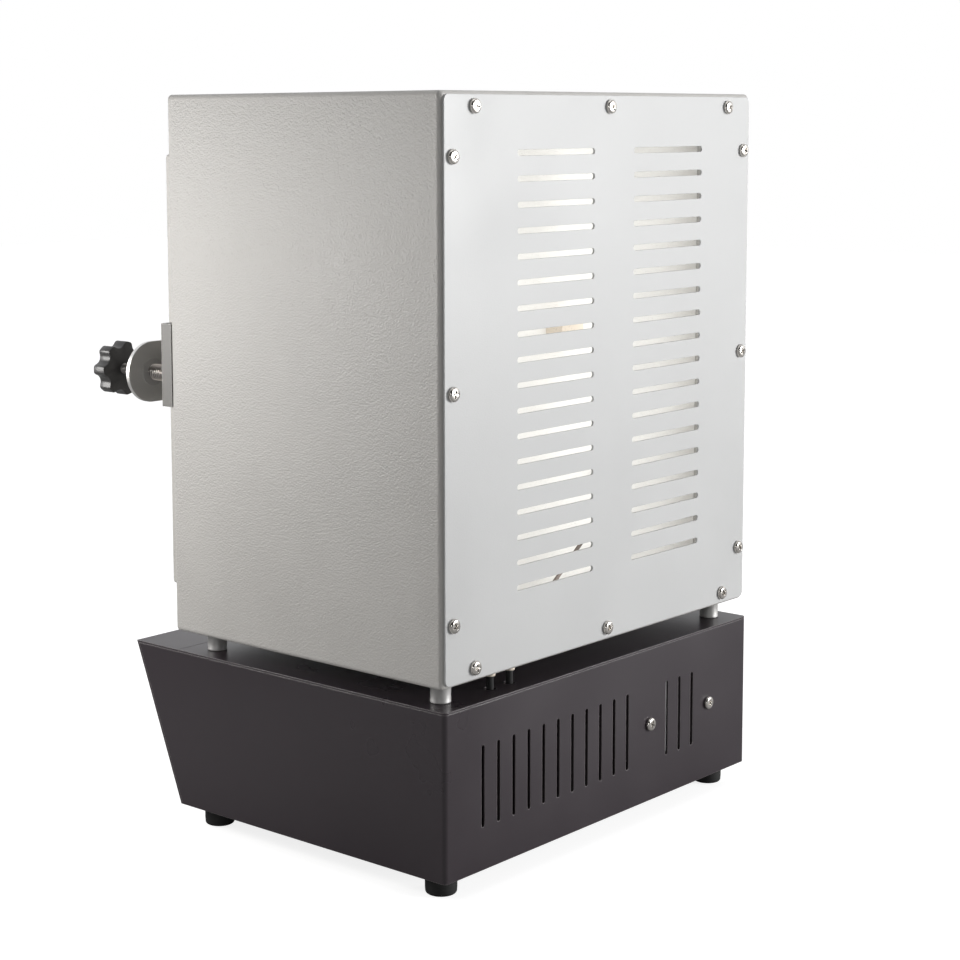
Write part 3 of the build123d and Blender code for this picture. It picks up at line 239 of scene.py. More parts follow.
def finish(
    name, colour, rough, metal=0.0, shade=0.10, patch=9.0, grain=900.0, height=0.00006,
    gloss_spread=0.06, mottle=0.05, edge=0.0004, worn=None, wear=0.35, brushed=None, coat=0.0,
    specular=0.5, bare_rim=None,
):
    """A whole surface: colour drift, gloss drift, raised grain, soft edges and edge wear."""
    look = bpy.data.materials.new(name)
    look.use_nodes = True
    tree = look.node_tree
    shader = tree.nodes["Principled BSDF"]
    place = tree.nodes.new("ShaderNodeTexCoord").outputs["Object"]
    if brushed:
        place = wire(tree, "ShaderNodeMapping", [("Vector", place)], Scale=brushed).outputs[0]
    broad = wire(tree, "ShaderNodeTexNoise", [("Vector", place)], Scale=patch, Detail=4.0).outputs["Fac"]
    fine = wire(tree, "ShaderNodeTexNoise", [("Vector", place)], Scale=grain, Detail=2.0).outputs["Fac"]
    dark = tuple(c * (1 - shade) for c in colour)
    light = tuple(min(1.0, c * (1 + shade)) for c in colour)
    drift = blend_colour(tree, stretch(tree, broad, *noise_band, 0, 1), dark, light)
    speck = tuple(c * speck_shade for c in colour)
    speckle = stretch(tree, fine, *speck_band, 0, mottle * speck_strength)
    surface = blend_colour(tree, speckle, drift, speck)
    rounded = wire(tree, "ShaderNodeBevel", Radius=edge)
    rounded.samples = bevel_samples
    flat = tree.nodes.new("ShaderNodeNewGeometry").outputs["True Normal"]
    meet = tree.nodes.new("ShaderNodeVectorMath")
    meet.operation = "DOT_PRODUCT"
    tree.links.new(rounded.outputs[0], meet.inputs[0])
    tree.links.new(flat, meet.inputs[1])
    rub = stretch(tree, meet.outputs["Value"], *rub_band, 0, wear)
    if worn:
        surface = blend_colour(tree, rub, surface, worn)
    if bare_rim:
        own_normal = tree.nodes.new("ShaderNodeTexCoord").outputs["Normal"]
        facing = tree.nodes.new("ShaderNodeSeparateXYZ")
        tree.links.new(own_normal, facing.inputs[0])
        flatness = tree.nodes.new("ShaderNodeMath")
        flatness.operation = "ABSOLUTE"
        tree.links.new(facing.outputs["Y"], flatness.inputs[0])
        bare = stretch(tree, flatness.outputs[0], *rim_band, 0, 1)
        surface = blend_colour(tree, bare, surface, bare_rim)
        tree.links.new(bare, shader.inputs["Metallic"])
    tree.links.new(surface, shader.inputs["Base Color"])
    gloss = stretch(tree, broad, *noise_band, rough - gloss_spread, rough + gloss_spread)
    tree.links.new(gloss, shader.inputs["Roughness"])
    bump = wire(
        tree, "ShaderNodeBump", [("Height", fine), ("Normal", rounded.outputs[0])],
        Strength=1.0, Distance=height,
    )
    tree.links.new(bump.outputs[0], shader.inputs["Normal"])
    shader.inputs["Metallic"].default_value = metal
    shader.inputs["Coat Weight"].default_value = coat
    shader.inputs["Specular IOR Level"].default_value = specular
    return look


# %% [markdown]
# ## Paint, metal, rubber and ceramic
# The casing is warm grey and grainy, its cover lighter and smoother, and the base is a near-black with a
# faint plum tint. Their coats wear to a paler edge. Screws are bright nickel, other fittings dull zinc.
# The knob is moulded phenolic, the feet are rubber, and inside are chalky fired clay and white fibre
# board.

# %% Mix the finishes
finishes = {
    "casing_grey": finish(
        "casing_grey", (0.50, 0.487, 0.465), 0.42, grain=820, height=0.00048, shade=0.05, mottle=0.05,
        worn=(0.60, 0.59, 0.57), edge=0.0006,
    ),
    "cover_grey": finish(
        "cover_grey", (0.508, 0.511, 0.508), 0.42, grain=1100, height=0.00006, shade=0.03, mottle=0.02,
        worn=(0.70, 0.70, 0.70), edge=0.0005,
    ),
    "base_black": finish(
        "base_black", (0.0300, 0.0225, 0.0275), 0.32, grain=500, height=0.000008, shade=0.06, mottle=0.0,
        worn=(0.22, 0.20, 0.20), edge=0.0009, wear=0.8,
    ),
    "nickel_screw": finish(
        "nickel_screw", (0.66, 0.63, 0.59), 0.2, metal=1.0, grain=2500, height=0.00001, mottle=0.02,
        edge=0.0002, worn=(0.85, 0.84, 0.82),
    ),
    "plated_steel": finish(
        "plated_steel", (0.52, 0.53, 0.54), 0.36, metal=1.0, grain=1800, height=0.00002, shade=0.12,
        mottle=0.04, worn=(0.75, 0.75, 0.75),
    ),
    "latch_grey": finish(
        "latch_grey", (0.15, 0.145, 0.135), 0.45, grain=900, height=0.00012, shade=0.12, mottle=0.06,
        worn=(0.80, 0.79, 0.77), edge=0.0008, wear=0.9,
    ),
    # A paler copy of latch_grey for the clamp plate. Its grey is raised as painted light, to cancel the
    # shade that the casing throws on the plate.
    "clamp_grey_painted_light": finish(
        "clamp_grey_painted_light", (0.40, 0.388, 0.368), 0.38, grain=900, height=0.00012, shade=0.12, mottle=0.06,
        worn=(0.80, 0.79, 0.77), edge=0.0004, wear=0.9, bare_rim=(0.80, 0.79, 0.77),
    ),
    # The spring washer's face takes the clamp plate's raised grey, as painted light for the shade it
    # sits in. Its rim is bare bright metal.
    "washer_grey_painted_light": finish(
        "washer_grey_painted_light", (0.38, 0.37, 0.355), 0.25, grain=1500, height=0.00002, shade=0.12,
        worn=(0.8, 0.79, 0.77), edge=0.0005, bare_rim=(0.98, 0.97, 0.95), coat=0.6,
    ),
    # The stud's steel is darker than plated_steel. This is painted shade, standing in for the shade that
    # the spring's coils throw on the stud.
    "stud_steel_painted_shade": finish(
        "stud_steel_painted_shade", (0.24, 0.23, 0.22), 0.3, metal=1.0, grain=1500, height=0.00002, shade=0.15,
        worn=(0.7, 0.7, 0.7), edge=0.0001,
    ),
    "spring_steel": finish(
        "spring_steel", (0.86, 0.79, 0.74), 0.24, metal=1.0, grain=1600, height=0.00002, shade=0.2,
        worn=(0.55, 0.48, 0.42), edge=0.0001,
    ),
    "post_aluminium": finish(
        "post_aluminium", (0.42, 0.415, 0.405), 0.5, metal=0.45, grain=900, height=0.00002,
        brushed=(1, 1, 12), shade=0.08, worn=(0.85, 0.85, 0.85),
    ),
    "foot_rubber": finish(
        "foot_rubber", (0.022, 0.022, 0.022), 0.72, grain=1300, height=0.00008, shade=0.2,
        worn=(0.06, 0.06, 0.06), edge=0.0006, specular=0.3,
    ),
    "knob_black": finish(
        "knob_black", (0.036, 0.035, 0.035), 0.34, grain=1000, height=0.00004, shade=0.2,
        worn=(0.05, 0.05, 0.05), edge=0.0005, coat=0.15,
    ),
    "fired_ceramic": finish(
        "fired_ceramic", (0.74, 0.66, 0.56), 0.82, grain=700, height=0.00022, shade=0.12, mottle=0.12,
        worn=(0.82, 0.76, 0.68), specular=0.25,
    ),
    "fibre_board": finish(
        "fibre_board", (0.86, 0.85, 0.82), 0.95, grain=420, height=0.0005, shade=0.05, mottle=0.04,
        brushed=(1, 1, 2.2), worn=(0.92, 0.91, 0.89), specular=0.1,
    ),
    "heating_wire": finish(
        "heating_wire", (0.20, 0.17, 0.15), 0.6, metal=0.7, grain=1500, height=0.00005, shade=0.25,
    ),
    "panel_plastic": finish(
        "panel_plastic", (0.030, 0.030, 0.032), 0.42, grain=1700, height=0.00003, shade=0.12,
        worn=(0.06, 0.06, 0.06), edge=0.0004,
    ),
    "window_smoke": finish(
        "window_smoke", (0.020, 0.008, 0.008), 0.08, grain=500, height=0.000003, shade=0.1, coat=0.6,
        gloss_spread=0.02,
    ),
    "button_plastic": finish(
        "button_plastic", (0.24, 0.25, 0.27), 0.5, grain=1500, height=0.00003, shade=0.08,
        worn=(0.36, 0.37, 0.39),
    ),
    "rocker_red": finish(
        "rocker_red", (0.42, 0.018, 0.012), 0.22, grain=1200, height=0.00001, shade=0.1,
        worn=(0.55, 0.06, 0.04), coat=0.4,
    ),
    "lamp_red": finish(
        "lamp_red", (0.55, 0.03, 0.02), 0.12, grain=800, height=0.00001, shade=0.15, coat=0.5,
    ),
    "sink_aluminium": finish(
        "sink_aluminium", (0.60, 0.60, 0.61), 0.42, metal=0.9, grain=900, height=0.00003,
        brushed=(1, 1, 0.08), shade=0.1, worn=(0.8, 0.8, 0.8),
    ),
    "relay_white": finish(
        "relay_white", (0.72, 0.71, 0.66), 0.5, grain=1500, height=0.00003, shade=0.05,
        worn=(0.8, 0.79, 0.75),
    ),
    "handle_black": finish(
        "handle_black", (0.018, 0.018, 0.018), 0.32, grain=1000, height=0.00003, shade=0.2,
        worn=(0.05, 0.05, 0.05), coat=0.2,
    ),
}
print(len(finishes), "finishes mixed")

# %% Paint every CAD node
slot_of = {part["node"]: part["material_slot"] for part in frame["record"]["subparts"]}
# The clamp plate and the spring washer get paler greys, raised as painted light against the casing's
# shade on them.
painted_light_finish_of = {"clamp_plate": "clamp_grey_painted_light", "spring_washer": "washer_grey_painted_light"}
for name, thing in nodes.items():
    thing.data.materials.clear()
    thing.data.materials.append(finishes[painted_light_finish_of.get(name, slot_of[name])])
print(len(nodes), "nodes painted")

# %% [markdown]
# ## Reading the frame
# A CAD node such as the cover screws holds several separate solids. To set a finer screw where each one
# was, we need the box of each solid. A copy of the mesh is welded and split into its islands, and the
# node itself is left as it is.

# %% Find the solids of a node
def solids_of(node):
    """The lowest and highest corner of each separate solid of a CAD node."""
    copy = bmesh.new()
    copy.from_mesh(nodes[node].data)
    bmesh.ops.remove_doubles(copy, verts=copy.verts, dist=1e-6)
    left = set(copy.verts)
    boxes = []
    while left:
        island = [left.pop()]
        for vert in island:
            for edge in vert.link_edges:
                other = edge.other_vert(vert)
                if other in left:
                    left.remove(other)
                    island.append(other)
        points = np.array([v.co[:] for v in island])
        boxes.append((Vector(points.min(0)), Vector(points.max(0))))
    copy.free()
    return sorted(boxes, key=lambda b: (round(b[0].x, 4), round(b[0].y, 4), round(b[0].z, 4)))


def centre_of(box):
    """The middle of a box."""
    return (box[0] + box[1]) / 2


for group in ("back_cover_screws", "feet", "spacer_posts"):
    print(group, len(solids_of(group)), "solids")

# %% [markdown]
# ## Turned shapes
# Screw heads, posts, feet and the door's pull are all round, so each is one outline spun about an axis.
# The outline is a list of radius and height. Rounded corners are worked out in the outline, where they
# cost little, and the seam and poles are welded so the surface closes.

# %% Spin an outline
def corner(centre, radius, start, end, steps=4):
    """Points of a rounded corner in an outline, between two angles in degrees."""
    turns = np.radians(np.linspace(start, end, steps + 1))
    return [(centre[0] + radius * math.cos(t), centre[1] + radius * math.sin(t)) for t in turns]


def smooth(mesh, sharp_over=38):
    """Smooth shading, with edges sharper than an angle kept crisp."""
    mesh.polygons.foreach_set("use_smooth", [True] * len(mesh.polygons))
    mesh.set_sharp_from_angle(angle=math.radians(sharp_over))
    mesh.update()


def spin(name, outline, sides=32):
    """A turned solid about +Z from an outline of (radius, height) that starts and ends on the axis."""
    shape = bmesh.new()
    rings = []
    for radius, height in outline:
        if radius < 1e-7:
            rings.append([shape.verts.new((0, 0, height))])
            continue
        turns = [2 * math.pi * n / sides for n in range(sides)]
        around = [(radius * math.cos(t), radius * math.sin(t), height) for t in turns]
        rings.append([shape.verts.new(point) for point in around])
    for low, high in zip(rings, rings[1:]):
        for n in range(sides):
            after = (n + 1) % sides
            if len(low) == 1:
                shape.faces.new((low[0], high[after], high[n]))
            elif len(high) == 1:
                shape.faces.new((low[n], low[after], high[0]))
            else:
                shape.faces.new((low[n], low[after], high[after], high[n]))
    bmesh.ops.recalc_face_normals(shape, faces=shape.faces)
    mesh = bpy.data.meshes.new(name)
    shape.to_mesh(mesh)
    shape.free()
    smooth(mesh)
    return mesh


def plain_mesh(thing, name):
    """The finished mesh of an object with live modifiers."""
    graph = bpy.context.evaluated_depsgraph_get()
    mesh = bpy.data.meshes.new_from_object(thing.evaluated_get(graph), depsgraph=graph)
    mesh.name = name
    return mesh


# %% [markdown]
# ## Cross-head screws
# The cover is held by bright pan-head screws with a cross recess. The head is spun, then two crossed
# wedges are cut out of it with a Boolean. It is made once at the size of the cover's M5 screws; the
# smaller ones are the same shape made smaller.

# %% Make the two kinds of screw
screw_head = 0.0048
screw_height = 0.0028
screw_shank = 0.00245
screw_sides = 28
recess_depth = 0.0017
wedge_faces = ((0, 1, 2, 3), (7, 6, 5, 4), (0, 4, 5, 1), (1, 5, 6, 2), (2, 6, 7, 3), (3, 7, 4, 0))


def cross_recess(mesh, top, depth, reach=0.0030, width=0.00125, bottom=0.45, above=0.0004):
    """Cuts a cross-shaped driver recess into a screw's head."""
    cutter = bmesh.new()
    for turn in (0, math.pi / 2):
        corners = []
        for z, share in ((top + above, 1.0), (top - depth, bottom)):
            for x, y in ((-1, -1), (1, -1), (1, 1), (-1, 1)):
                point = Vector((x * reach * share, y * width / 2 * (0.6 + 0.4 * share), z))
                corners.append(cutter.verts.new(Matrix.Rotation(turn, 3, "Z") @ point))
        for face in wedge_faces:
            cutter.faces.new([corners[n] for n in face])
    bmesh.ops.recalc_face_normals(cutter, faces=cutter.faces)
    cutter_mesh = bpy.data.meshes.new("recess_cutter")
    cutter.to_mesh(cutter_mesh)
    cutter.free()
    tool = link("recess_cutter", cutter_mesh)
    body = link("screw_blank", mesh)
    cut = body.modifiers.new("cut", "BOOLEAN")
    cut.operation = "DIFFERENCE"
    cut.solver = "EXACT"
    cut.use_self = True
    cut.object = tool
    done = plain_mesh(body, "cross_screw")
    bpy.data.objects.remove(body)
    bpy.data.objects.remove(tool)
    smooth(done, 30)
    return done


pan_end, pan_chamfer = -0.0099, -0.009
pan_shoulder = 0.0017
pan_outline = [(0, pan_end), (screw_shank * 0.7, pan_end), (screw_shank, pan_chamfer), (screw_shank, 0)]
pan_outline += [(screw_head - 0.0007, 0), (screw_head - 0.0006, 0.00035), (screw_head, 0.0006)]
pan_outline += corner((screw_head - pan_shoulder, 0.0011), pan_shoulder, 0, 68, 6)
pan_outline += [(0.0022, screw_height - 0.00005), (0, screw_height)]
pan_blank = spin("pan_blank", pan_outline, screw_sides)
pan_screw = link("pan_screw_pattern", cross_recess(pan_blank, screw_height, recess_depth))

flat_end, flat_chamfer = -0.0138, -0.0132
flat_shank = 0.00195
flat_outline = [(0, flat_end), (0.0014, flat_end), (flat_shank, flat_chamfer), (flat_shank, -0.0028)]
flat_outline += [(0.0046, -0.0001), (0.0045, 0), (0, 0)]
flat_blank = spin("flat_blank", flat_outline, screw_sides)
flat_screw = link("flat_screw_pattern", cross_recess(flat_blank, 0, recess_depth))
print("screw faces:", len(pan_screw.data.polygons), len(flat_screw.data.polygons))

# %% [markdown]
# ## Setting out copies with Geometry Nodes
# Twelve screws, four posts and four feet are the same piece many times. A small node tree puts a
# pattern piece on every point it is given, scales it, gives each copy its own seeded turn about its own
# axis, since nobody lines up screw slots, and leans it to face the right way. The tree is made once and
# used for every set, and each result is baked to one plain mesh.

# %% Build the tree that sets out copies
def new_tree(name, inputs):
    """A Geometry Nodes tree with named inputs; returns the tree and the input sockets by name."""
    tree = bpy.data.node_groups.new(name, "GeometryNodeTree")
    sockets = {}
    for title, kind, value in inputs:
        socket = tree.interface.new_socket(name=title, in_out="INPUT", socket_type=kind)
        if value is not None:
            socket.default_value = value
        sockets[title] = socket.identifier
    tree.interface.new_socket(name="Geometry", in_out="OUTPUT", socket_type="NodeSocketGeometry")
    return tree, sockets


def join(tree, source, target, entry):
    """Links a node's first output, or a socket, to a named or numbered input."""
    output = source if hasattr(source, "is_output") else source.outputs[0]
    tree.links.new(output, target.inputs[entry])
    return target


copies_tree, copies_input = new_tree("set_out_copies", [
    ("Points", "NodeSocketGeometry", None),
    ("Pattern", "NodeSocketObject", None),
    ("Size", "NodeSocketFloat", 1.0),
    ("Facing", "NodeSocketRotation", None),
    ("Loose turn", "NodeSocketFloat", 0.0),
    ("Seed", "NodeSocketInt", 1),
    ("Finish", "NodeSocketMaterial", None),
])
given = copies_tree.nodes.new("NodeGroupInput")
pattern_info = copies_tree.nodes.new("GeometryNodeObjectInfo")
pattern = join(copies_tree, given.outputs["Pattern"], pattern_info, "Object")
placed = copies_tree.nodes.new("GeometryNodeInstanceOnPoints")
join(copies_tree, given.outputs["Points"], placed, "Points")
join(copies_tree, pattern.outputs["Geometry"], placed, "Instance")
join(copies_tree, given.outputs["Facing"], placed, "Rotation")
join(copies_tree, given.outputs["Size"], placed, "Scale")
chance = copies_tree.nodes.new("FunctionNodeRandomValue")
chance.data_type = "FLOAT"
join(copies_tree, given.outputs["Loose turn"], chance, 3)
join(copies_tree, given.outputs["Seed"], chance, "Seed")
own_turn = join(copies_tree, chance.outputs[1], copies_tree.nodes.new("ShaderNodeCombineXYZ"), "Z")
turned = join(copies_tree, placed, copies_tree.nodes.new("GeometryNodeRotateInstances"), "Instances")
join(copies_tree, own_turn, turned, "Rotation")
real = join(copies_tree, turned, copies_tree.nodes.new("GeometryNodeRealizeInstances"), "Geometry")
painted = join(copies_tree, real, copies_tree.nodes.new("GeometryNodeSetMaterial"), "Geometry")
join(copies_tree, given.outputs["Finish"], painted, "Material")
join(copies_tree, painted, copies_tree.nodes.new("NodeGroupOutput"), "Geometry")
print("tree", copies_tree.name, "inputs", list(copies_input))

# %% Set out the screws
to_back = (-math.pi / 2, 0, 0)
to_front = (math.pi / 2, 0, 0)
downward = (math.pi, 0, 0)
upright = (0, 0, 0)


def run_tree(name, points, tree, sockets, values):
    """Runs a tree on a set of points and returns the result as one plain object."""
    seed_mesh = bpy.data.meshes.new(name + "_points")
    seed_mesh.from_pydata([tuple(p) for p in points], [], [])
    host = link(name + "_points", seed_mesh)
    maker = host.modifiers.new("maker", "NODES")
    maker.node_group = tree
    for title, value in values.items():
        maker[sockets[title]] = value
    mesh = plain_mesh(host, name)
    bpy.data.objects.remove(host)
    return link(name, mesh)


def copies(name, points, pattern, facing, look, size=1.0, loose=0.0, seed=1):
    """Copies of a pattern piece on points, as one object."""
    return run_tree(name, points, copies_tree, copies_input, {
        "Pattern": pattern, "Size": size, "Facing": facing, "Loose turn": loose, "Seed": seed,
        "Finish": finishes[look],
    })


def stands_for(piece, body, slot, *replaced):
    """Sets a finished piece on what carries it and hides the nodes it stands for. The slot, its finish,
    is not used.
    """
    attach(piece, body)
    if replaced:
        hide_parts(*replaced)
    print(piece.name, "on", body, len(piece.data.polygons), "faces")


def seats(node, axis, side, height):
    """Where each screw's head sits: its middle, backed off from the head's top by its height."""
    points = []
    for box in solids_of(node):
        point = centre_of(box)
        point[axis] = box[side][axis] + (height if side == 0 else -height)
        points.append(point)
    return points


small_head = 0.0038
small = small_head / screw_head
any_turn = 3.1                   # half a turn at most, in radians
small_height = screw_height * small
cover_points = seats("back_cover_screws", 1, 1, screw_height)
stands_for(
    copies("cover_screw_set", cover_points, pan_screw, to_back, "nickel_screw", loose=any_turn, seed=4),
    "kiln", "nickel_screw", "back_cover_screws",
)
stands_for(
    copies("sink_screw_set", seats("base_back_screws", 1, 1, screw_height), pan_screw, to_back,
           "nickel_screw", loose=any_turn, seed=11),
    "kiln", "nickel_screw", "base_back_screws",
)
stands_for(
    copies("hinge_screw_set", seats("hinge_screws", 1, 0, small_height), pan_screw, to_front,
           "nickel_screw", size=small, loose=any_turn, seed=7),
    "kiln", "nickel_screw", "hinge_screws",
)
stands_for(
    copies("foot_screw_set", seats("foot_screws", 2, 0, small_height), pan_screw, downward,
           "plated_steel", size=small, loose=any_turn, seed=5),
    "kiln", "plated_steel", "foot_screws",
)
stands_for(
    copies("latch_screw_set", seats("latch_screws", 1, 0, 0.0), flat_screw, to_front,
           "plated_steel", loose=any_turn, seed=2),
    "kiln", "plated_steel", "latch_screws",
)

# %% [markdown]
# ## Posts and feet
# The casing stands off the base on four short turned aluminium posts, so that its heat stays out of the
# controls. Below, four soft rubber feet have a rounded foot edge and a screw deep in a pocket. Both are
# spun once and set out with the same tree.

# %% Turn the posts and mould the feet
post_boxes = solids_of("spacer_posts")
post_low, post_high = post_boxes[0]
post_radius = (post_high.x - post_low.x) / 2
post_tall = post_high.z - post_low.z
post_bore = 0.00285
post_bevel = 0.0005
rim_end, waist_start, waist_depth = 0.0012, 0.0014, 0.00012
waist_radius = post_radius - waist_depth
post_outline = [(post_bore, 0), (post_radius - post_bevel, 0)]
post_outline += [(post_radius, post_bevel), (post_radius, rim_end)]
post_outline += [(waist_radius, waist_start), (waist_radius, post_tall - waist_start)]
post_outline += [(post_radius, post_tall - rim_end), (post_radius, post_tall - post_bevel)]
post_outline += [(post_radius - post_bevel, post_tall), (post_bore, post_tall), (post_bore, 0)]
round_sides = 40
post_pattern = link("post_pattern", spin("post_pattern", post_outline, round_sides))
post_points = [(centre_of(b).x, centre_of(b).y, b[0].z) for b in post_boxes]
stands_for(
    copies("spacer_post_set", post_points, post_pattern, upright, "post_aluminium"),
    "kiln", "post_aluminium", "spacer_posts",
)

foot_boxes = solids_of("feet")
foot_low, foot_high = foot_boxes[0]
foot_radius = (foot_high.x - foot_low.x) / 2
foot_tall = foot_high.z - foot_low.z
foot_bore, pocket_radius, pocket_roof = 0.0023, 0.005, 0.008
pocket_lip, sole_round, band_round = 0.0012, 0.002, 0.0008
foot_wall = foot_radius - 0.0002
foot_outline = [(foot_bore, pocket_roof), (pocket_radius, pocket_roof), (pocket_radius, pocket_lip)]
foot_outline += corner((0.0062, pocket_lip), pocket_lip, 180, 270, 3)
foot_outline += corner((foot_radius - 0.0024, sole_round), sole_round, 270, 350, 5)
foot_outline += [(foot_wall, 0.0045), (foot_wall, foot_tall - 0.0034)]
foot_outline += corner((foot_radius - band_round, foot_tall - 0.0028), band_round, 300, 360, 2)
foot_outline += corner((foot_radius - band_round, foot_tall - band_round), band_round, 0, 90, 3)
foot_outline += [(foot_bore, foot_tall), (foot_bore, pocket_roof)]
foot_pattern = link("foot_pattern", spin("foot_pattern", foot_outline, round_sides))
foot_points = [(centre_of(b).x, centre_of(b).y, b[0].z) for b in foot_boxes]
stands_for(
    copies("rubber_foot_set", foot_points, foot_pattern, upright, "foot_rubber"),
    "kiln", "foot_rubber", "feet",
)

# %% [markdown]
# ## Lead bushings
# The element's two leads leave the casing through pale ceramic bushings, and go down into the base in
# dark sleeves. Each is a short turned collar with a rounded rim over a slimmer sleeve.

# %% Turn the bushings and their sleeves
bushing_boxes = solids_of("lead_bushings")
bushing_low, bushing_high = bushing_boxes[0]
bushing_radius = (bushing_high.x - bushing_low.x) / 2
collar_drop = 0.0048
collar_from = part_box("casing_shell")[0].z - collar_drop
collar_tall = bushing_high.z - collar_from
sleeve_tall = collar_from - bushing_low.z
collar_bore, collar_round = 0.0018, 0.0006
collar_outline = [(collar_bore, 0), (bushing_radius - collar_round, 0)]
collar_outline += corner((bushing_radius - collar_round, collar_round), collar_round, 270, 360, 3)
collar_outline += [(bushing_radius, collar_tall), (collar_bore, collar_tall), (collar_bore, 0)]
sleeve_bore, sleeve_radius, sleeve_gap = 0.0017, 0.0025, 0.00005
sleeve_top = sleeve_tall - sleeve_gap
sleeve_outline = [(sleeve_bore, 0), (sleeve_radius, 0)]
sleeve_outline += [(sleeve_radius, sleeve_top), (sleeve_bore, sleeve_top)]
collar_pattern = link("collar_pattern", spin("collar_pattern", collar_outline, 28))
sleeve_pattern = link("sleeve_pattern", spin("sleeve_pattern", sleeve_outline + sleeve_outline[:1], 24))
collar_points = [(centre_of(b).x, centre_of(b).y, collar_from) for b in bushing_boxes]
sleeve_points = [(centre_of(b).x, centre_of(b).y, b[0].z) for b in bushing_boxes]
stands_for(
    copies("bushing_collar_set", collar_points, collar_pattern, upright, "fired_ceramic"),
    "kiln", "fired_ceramic", "lead_bushings",
)
stands_for(
    copies("lead_sleeve_set", sleeve_points, sleeve_pattern, upright, "foot_rubber"),
    "kiln", "foot_rubber",
)
for pattern_piece in (pan_screw, flat_screw, post_pattern, foot_pattern, collar_pattern, sleeve_pattern):
    bpy.data.objects.remove(pattern_piece)

# %% [markdown]
# ## The slotted cover
# The rear cover follows a rule: a sheet with rounded corners, two columns of eighteen level slots with
# round ends, and a hole for every screw. It could be cut from the CAD sheet, but a node tree says the
# rule directly. Outlines are drawn as curves, one slot is set on every point of a grid, all are
# filled as one sheet with holes, and the sheet gets its thickness. Changing the pitch or the number of
# slots is then one value.

# %% Build the tree for the cover
cover_tree, cover_input = new_tree("slotted_cover", [
    ("Screw points", "NodeSocketGeometry", None),
    ("Width", "NodeSocketFloat", 0.34),
    ("Height", "NodeSocketFloat", 0.37),
    ("Corner radius", "NodeSocketFloat", 0.004),
    ("Slot length", "NodeSocketFloat", 0.082),
    ("Slot height", "NodeSocketFloat", 0.004),
    ("Slots in a column", "NodeSocketInt", 18),
    ("Column length", "NodeSocketFloat", 0.28),
    ("Column spacing", "NodeSocketFloat", 0.1265),
    ("Slots offset", "NodeSocketVector", None),
    ("Hole radius", "NodeSocketFloat", 0.0028),
    ("Thickness", "NodeSocketFloat", 0.0015),
    ("Finish", "NodeSocketMaterial", None),
])


def cover_node(kind, **sources):
    """Adds a node to the cover's tree and links sources to its inputs by name."""
    made = cover_tree.nodes.new(kind)
    for name, source in sources.items():
        join(cover_tree, source, made, name.replace("_", " "))
    return made


cover_given = cover_tree.nodes.new("NodeGroupInput").outputs
sheet_edge = cover_node(
    "GeometryNodeCurvePrimitiveQuadrilateral", Width=cover_given["Width"], Height=cover_given["Height"]
)
sheet_edge = cover_node("GeometryNodeFilletCurve", Curve=sheet_edge, Radius=cover_given["Corner radius"])
slot_edge = cover_node(
    "GeometryNodeCurvePrimitiveQuadrilateral",
    Width=cover_given["Slot length"], Height=cover_given["Slot height"],
)
end_share = 0.499                # just under half, so that a slot's two rounded corners don't meet
outline_points = 6
hole_sides = 20
weld_distance = 0.00001
half_height = cover_node("ShaderNodeMath")
half_height.operation = "MULTIPLY"
join(cover_tree, cover_given["Slot height"], half_height, 0)
half_height.inputs[1].default_value = end_share
slot_edge = cover_node("GeometryNodeFilletCurve", Curve=slot_edge, Radius=half_height)
for rounded_edge in (sheet_edge, slot_edge):
    rounded_edge.mode = "POLY"
    rounded_edge.inputs["Count"].default_value = outline_points
slot_grid = cover_node(
    "GeometryNodeMeshGrid", Size_X=cover_given["Column spacing"], Size_Y=cover_given["Column length"],
    Vertices_Y=cover_given["Slots in a column"],
)
slot_grid.inputs["Vertices X"].default_value = 2
slot_points = cover_node(
    "GeometryNodeSetPosition", Geometry=slot_grid, Offset=cover_given["Slots offset"]
)
slots = cover_node("GeometryNodeInstanceOnPoints", Points=slot_points, Instance=slot_edge)
hole_edge = cover_node("GeometryNodeCurvePrimitiveCircle", Radius=cover_given["Hole radius"])
hole_edge.inputs["Resolution"].default_value = hole_sides
holes = cover_node(
    "GeometryNodeInstanceOnPoints", Points=cover_given["Screw points"], Instance=hole_edge
)
outlines = cover_node("GeometryNodeJoinGeometry")
for outline in (sheet_edge, slots, holes):
    join(cover_tree, outline, outlines, 0)
outlines = cover_node("GeometryNodeRealizeInstances", Geometry=outlines)
sheet = cover_node("GeometryNodeFillCurve", Curve=outlines)
raised = cover_node("GeometryNodeExtrudeMesh", Mesh=sheet, Offset_Scale=cover_given["Thickness"])
raised.inputs["Individual"].default_value = False
underside = cover_node("GeometryNodeFlipFaces", Mesh=sheet)
closed = cover_node("GeometryNodeJoinGeometry")
join(cover_tree, raised.outputs["Mesh"], closed, 0)
join(cover_tree, underside, closed, 0)
closed = cover_node("GeometryNodeMergeByDistance", Geometry=closed)
closed.inputs["Distance"].default_value = weld_distance
closed = cover_node("GeometryNodeRealizeInstances", Geometry=closed)
closed = cover_node("GeometryNodeSetMaterial", Geometry=closed, Material=cover_given["Finish"])
join(cover_tree, closed, cover_tree.nodes.new("NodeGroupOutput"), "Geometry")
print("tree", cover_tree.name, "inputs", list(cover_input))

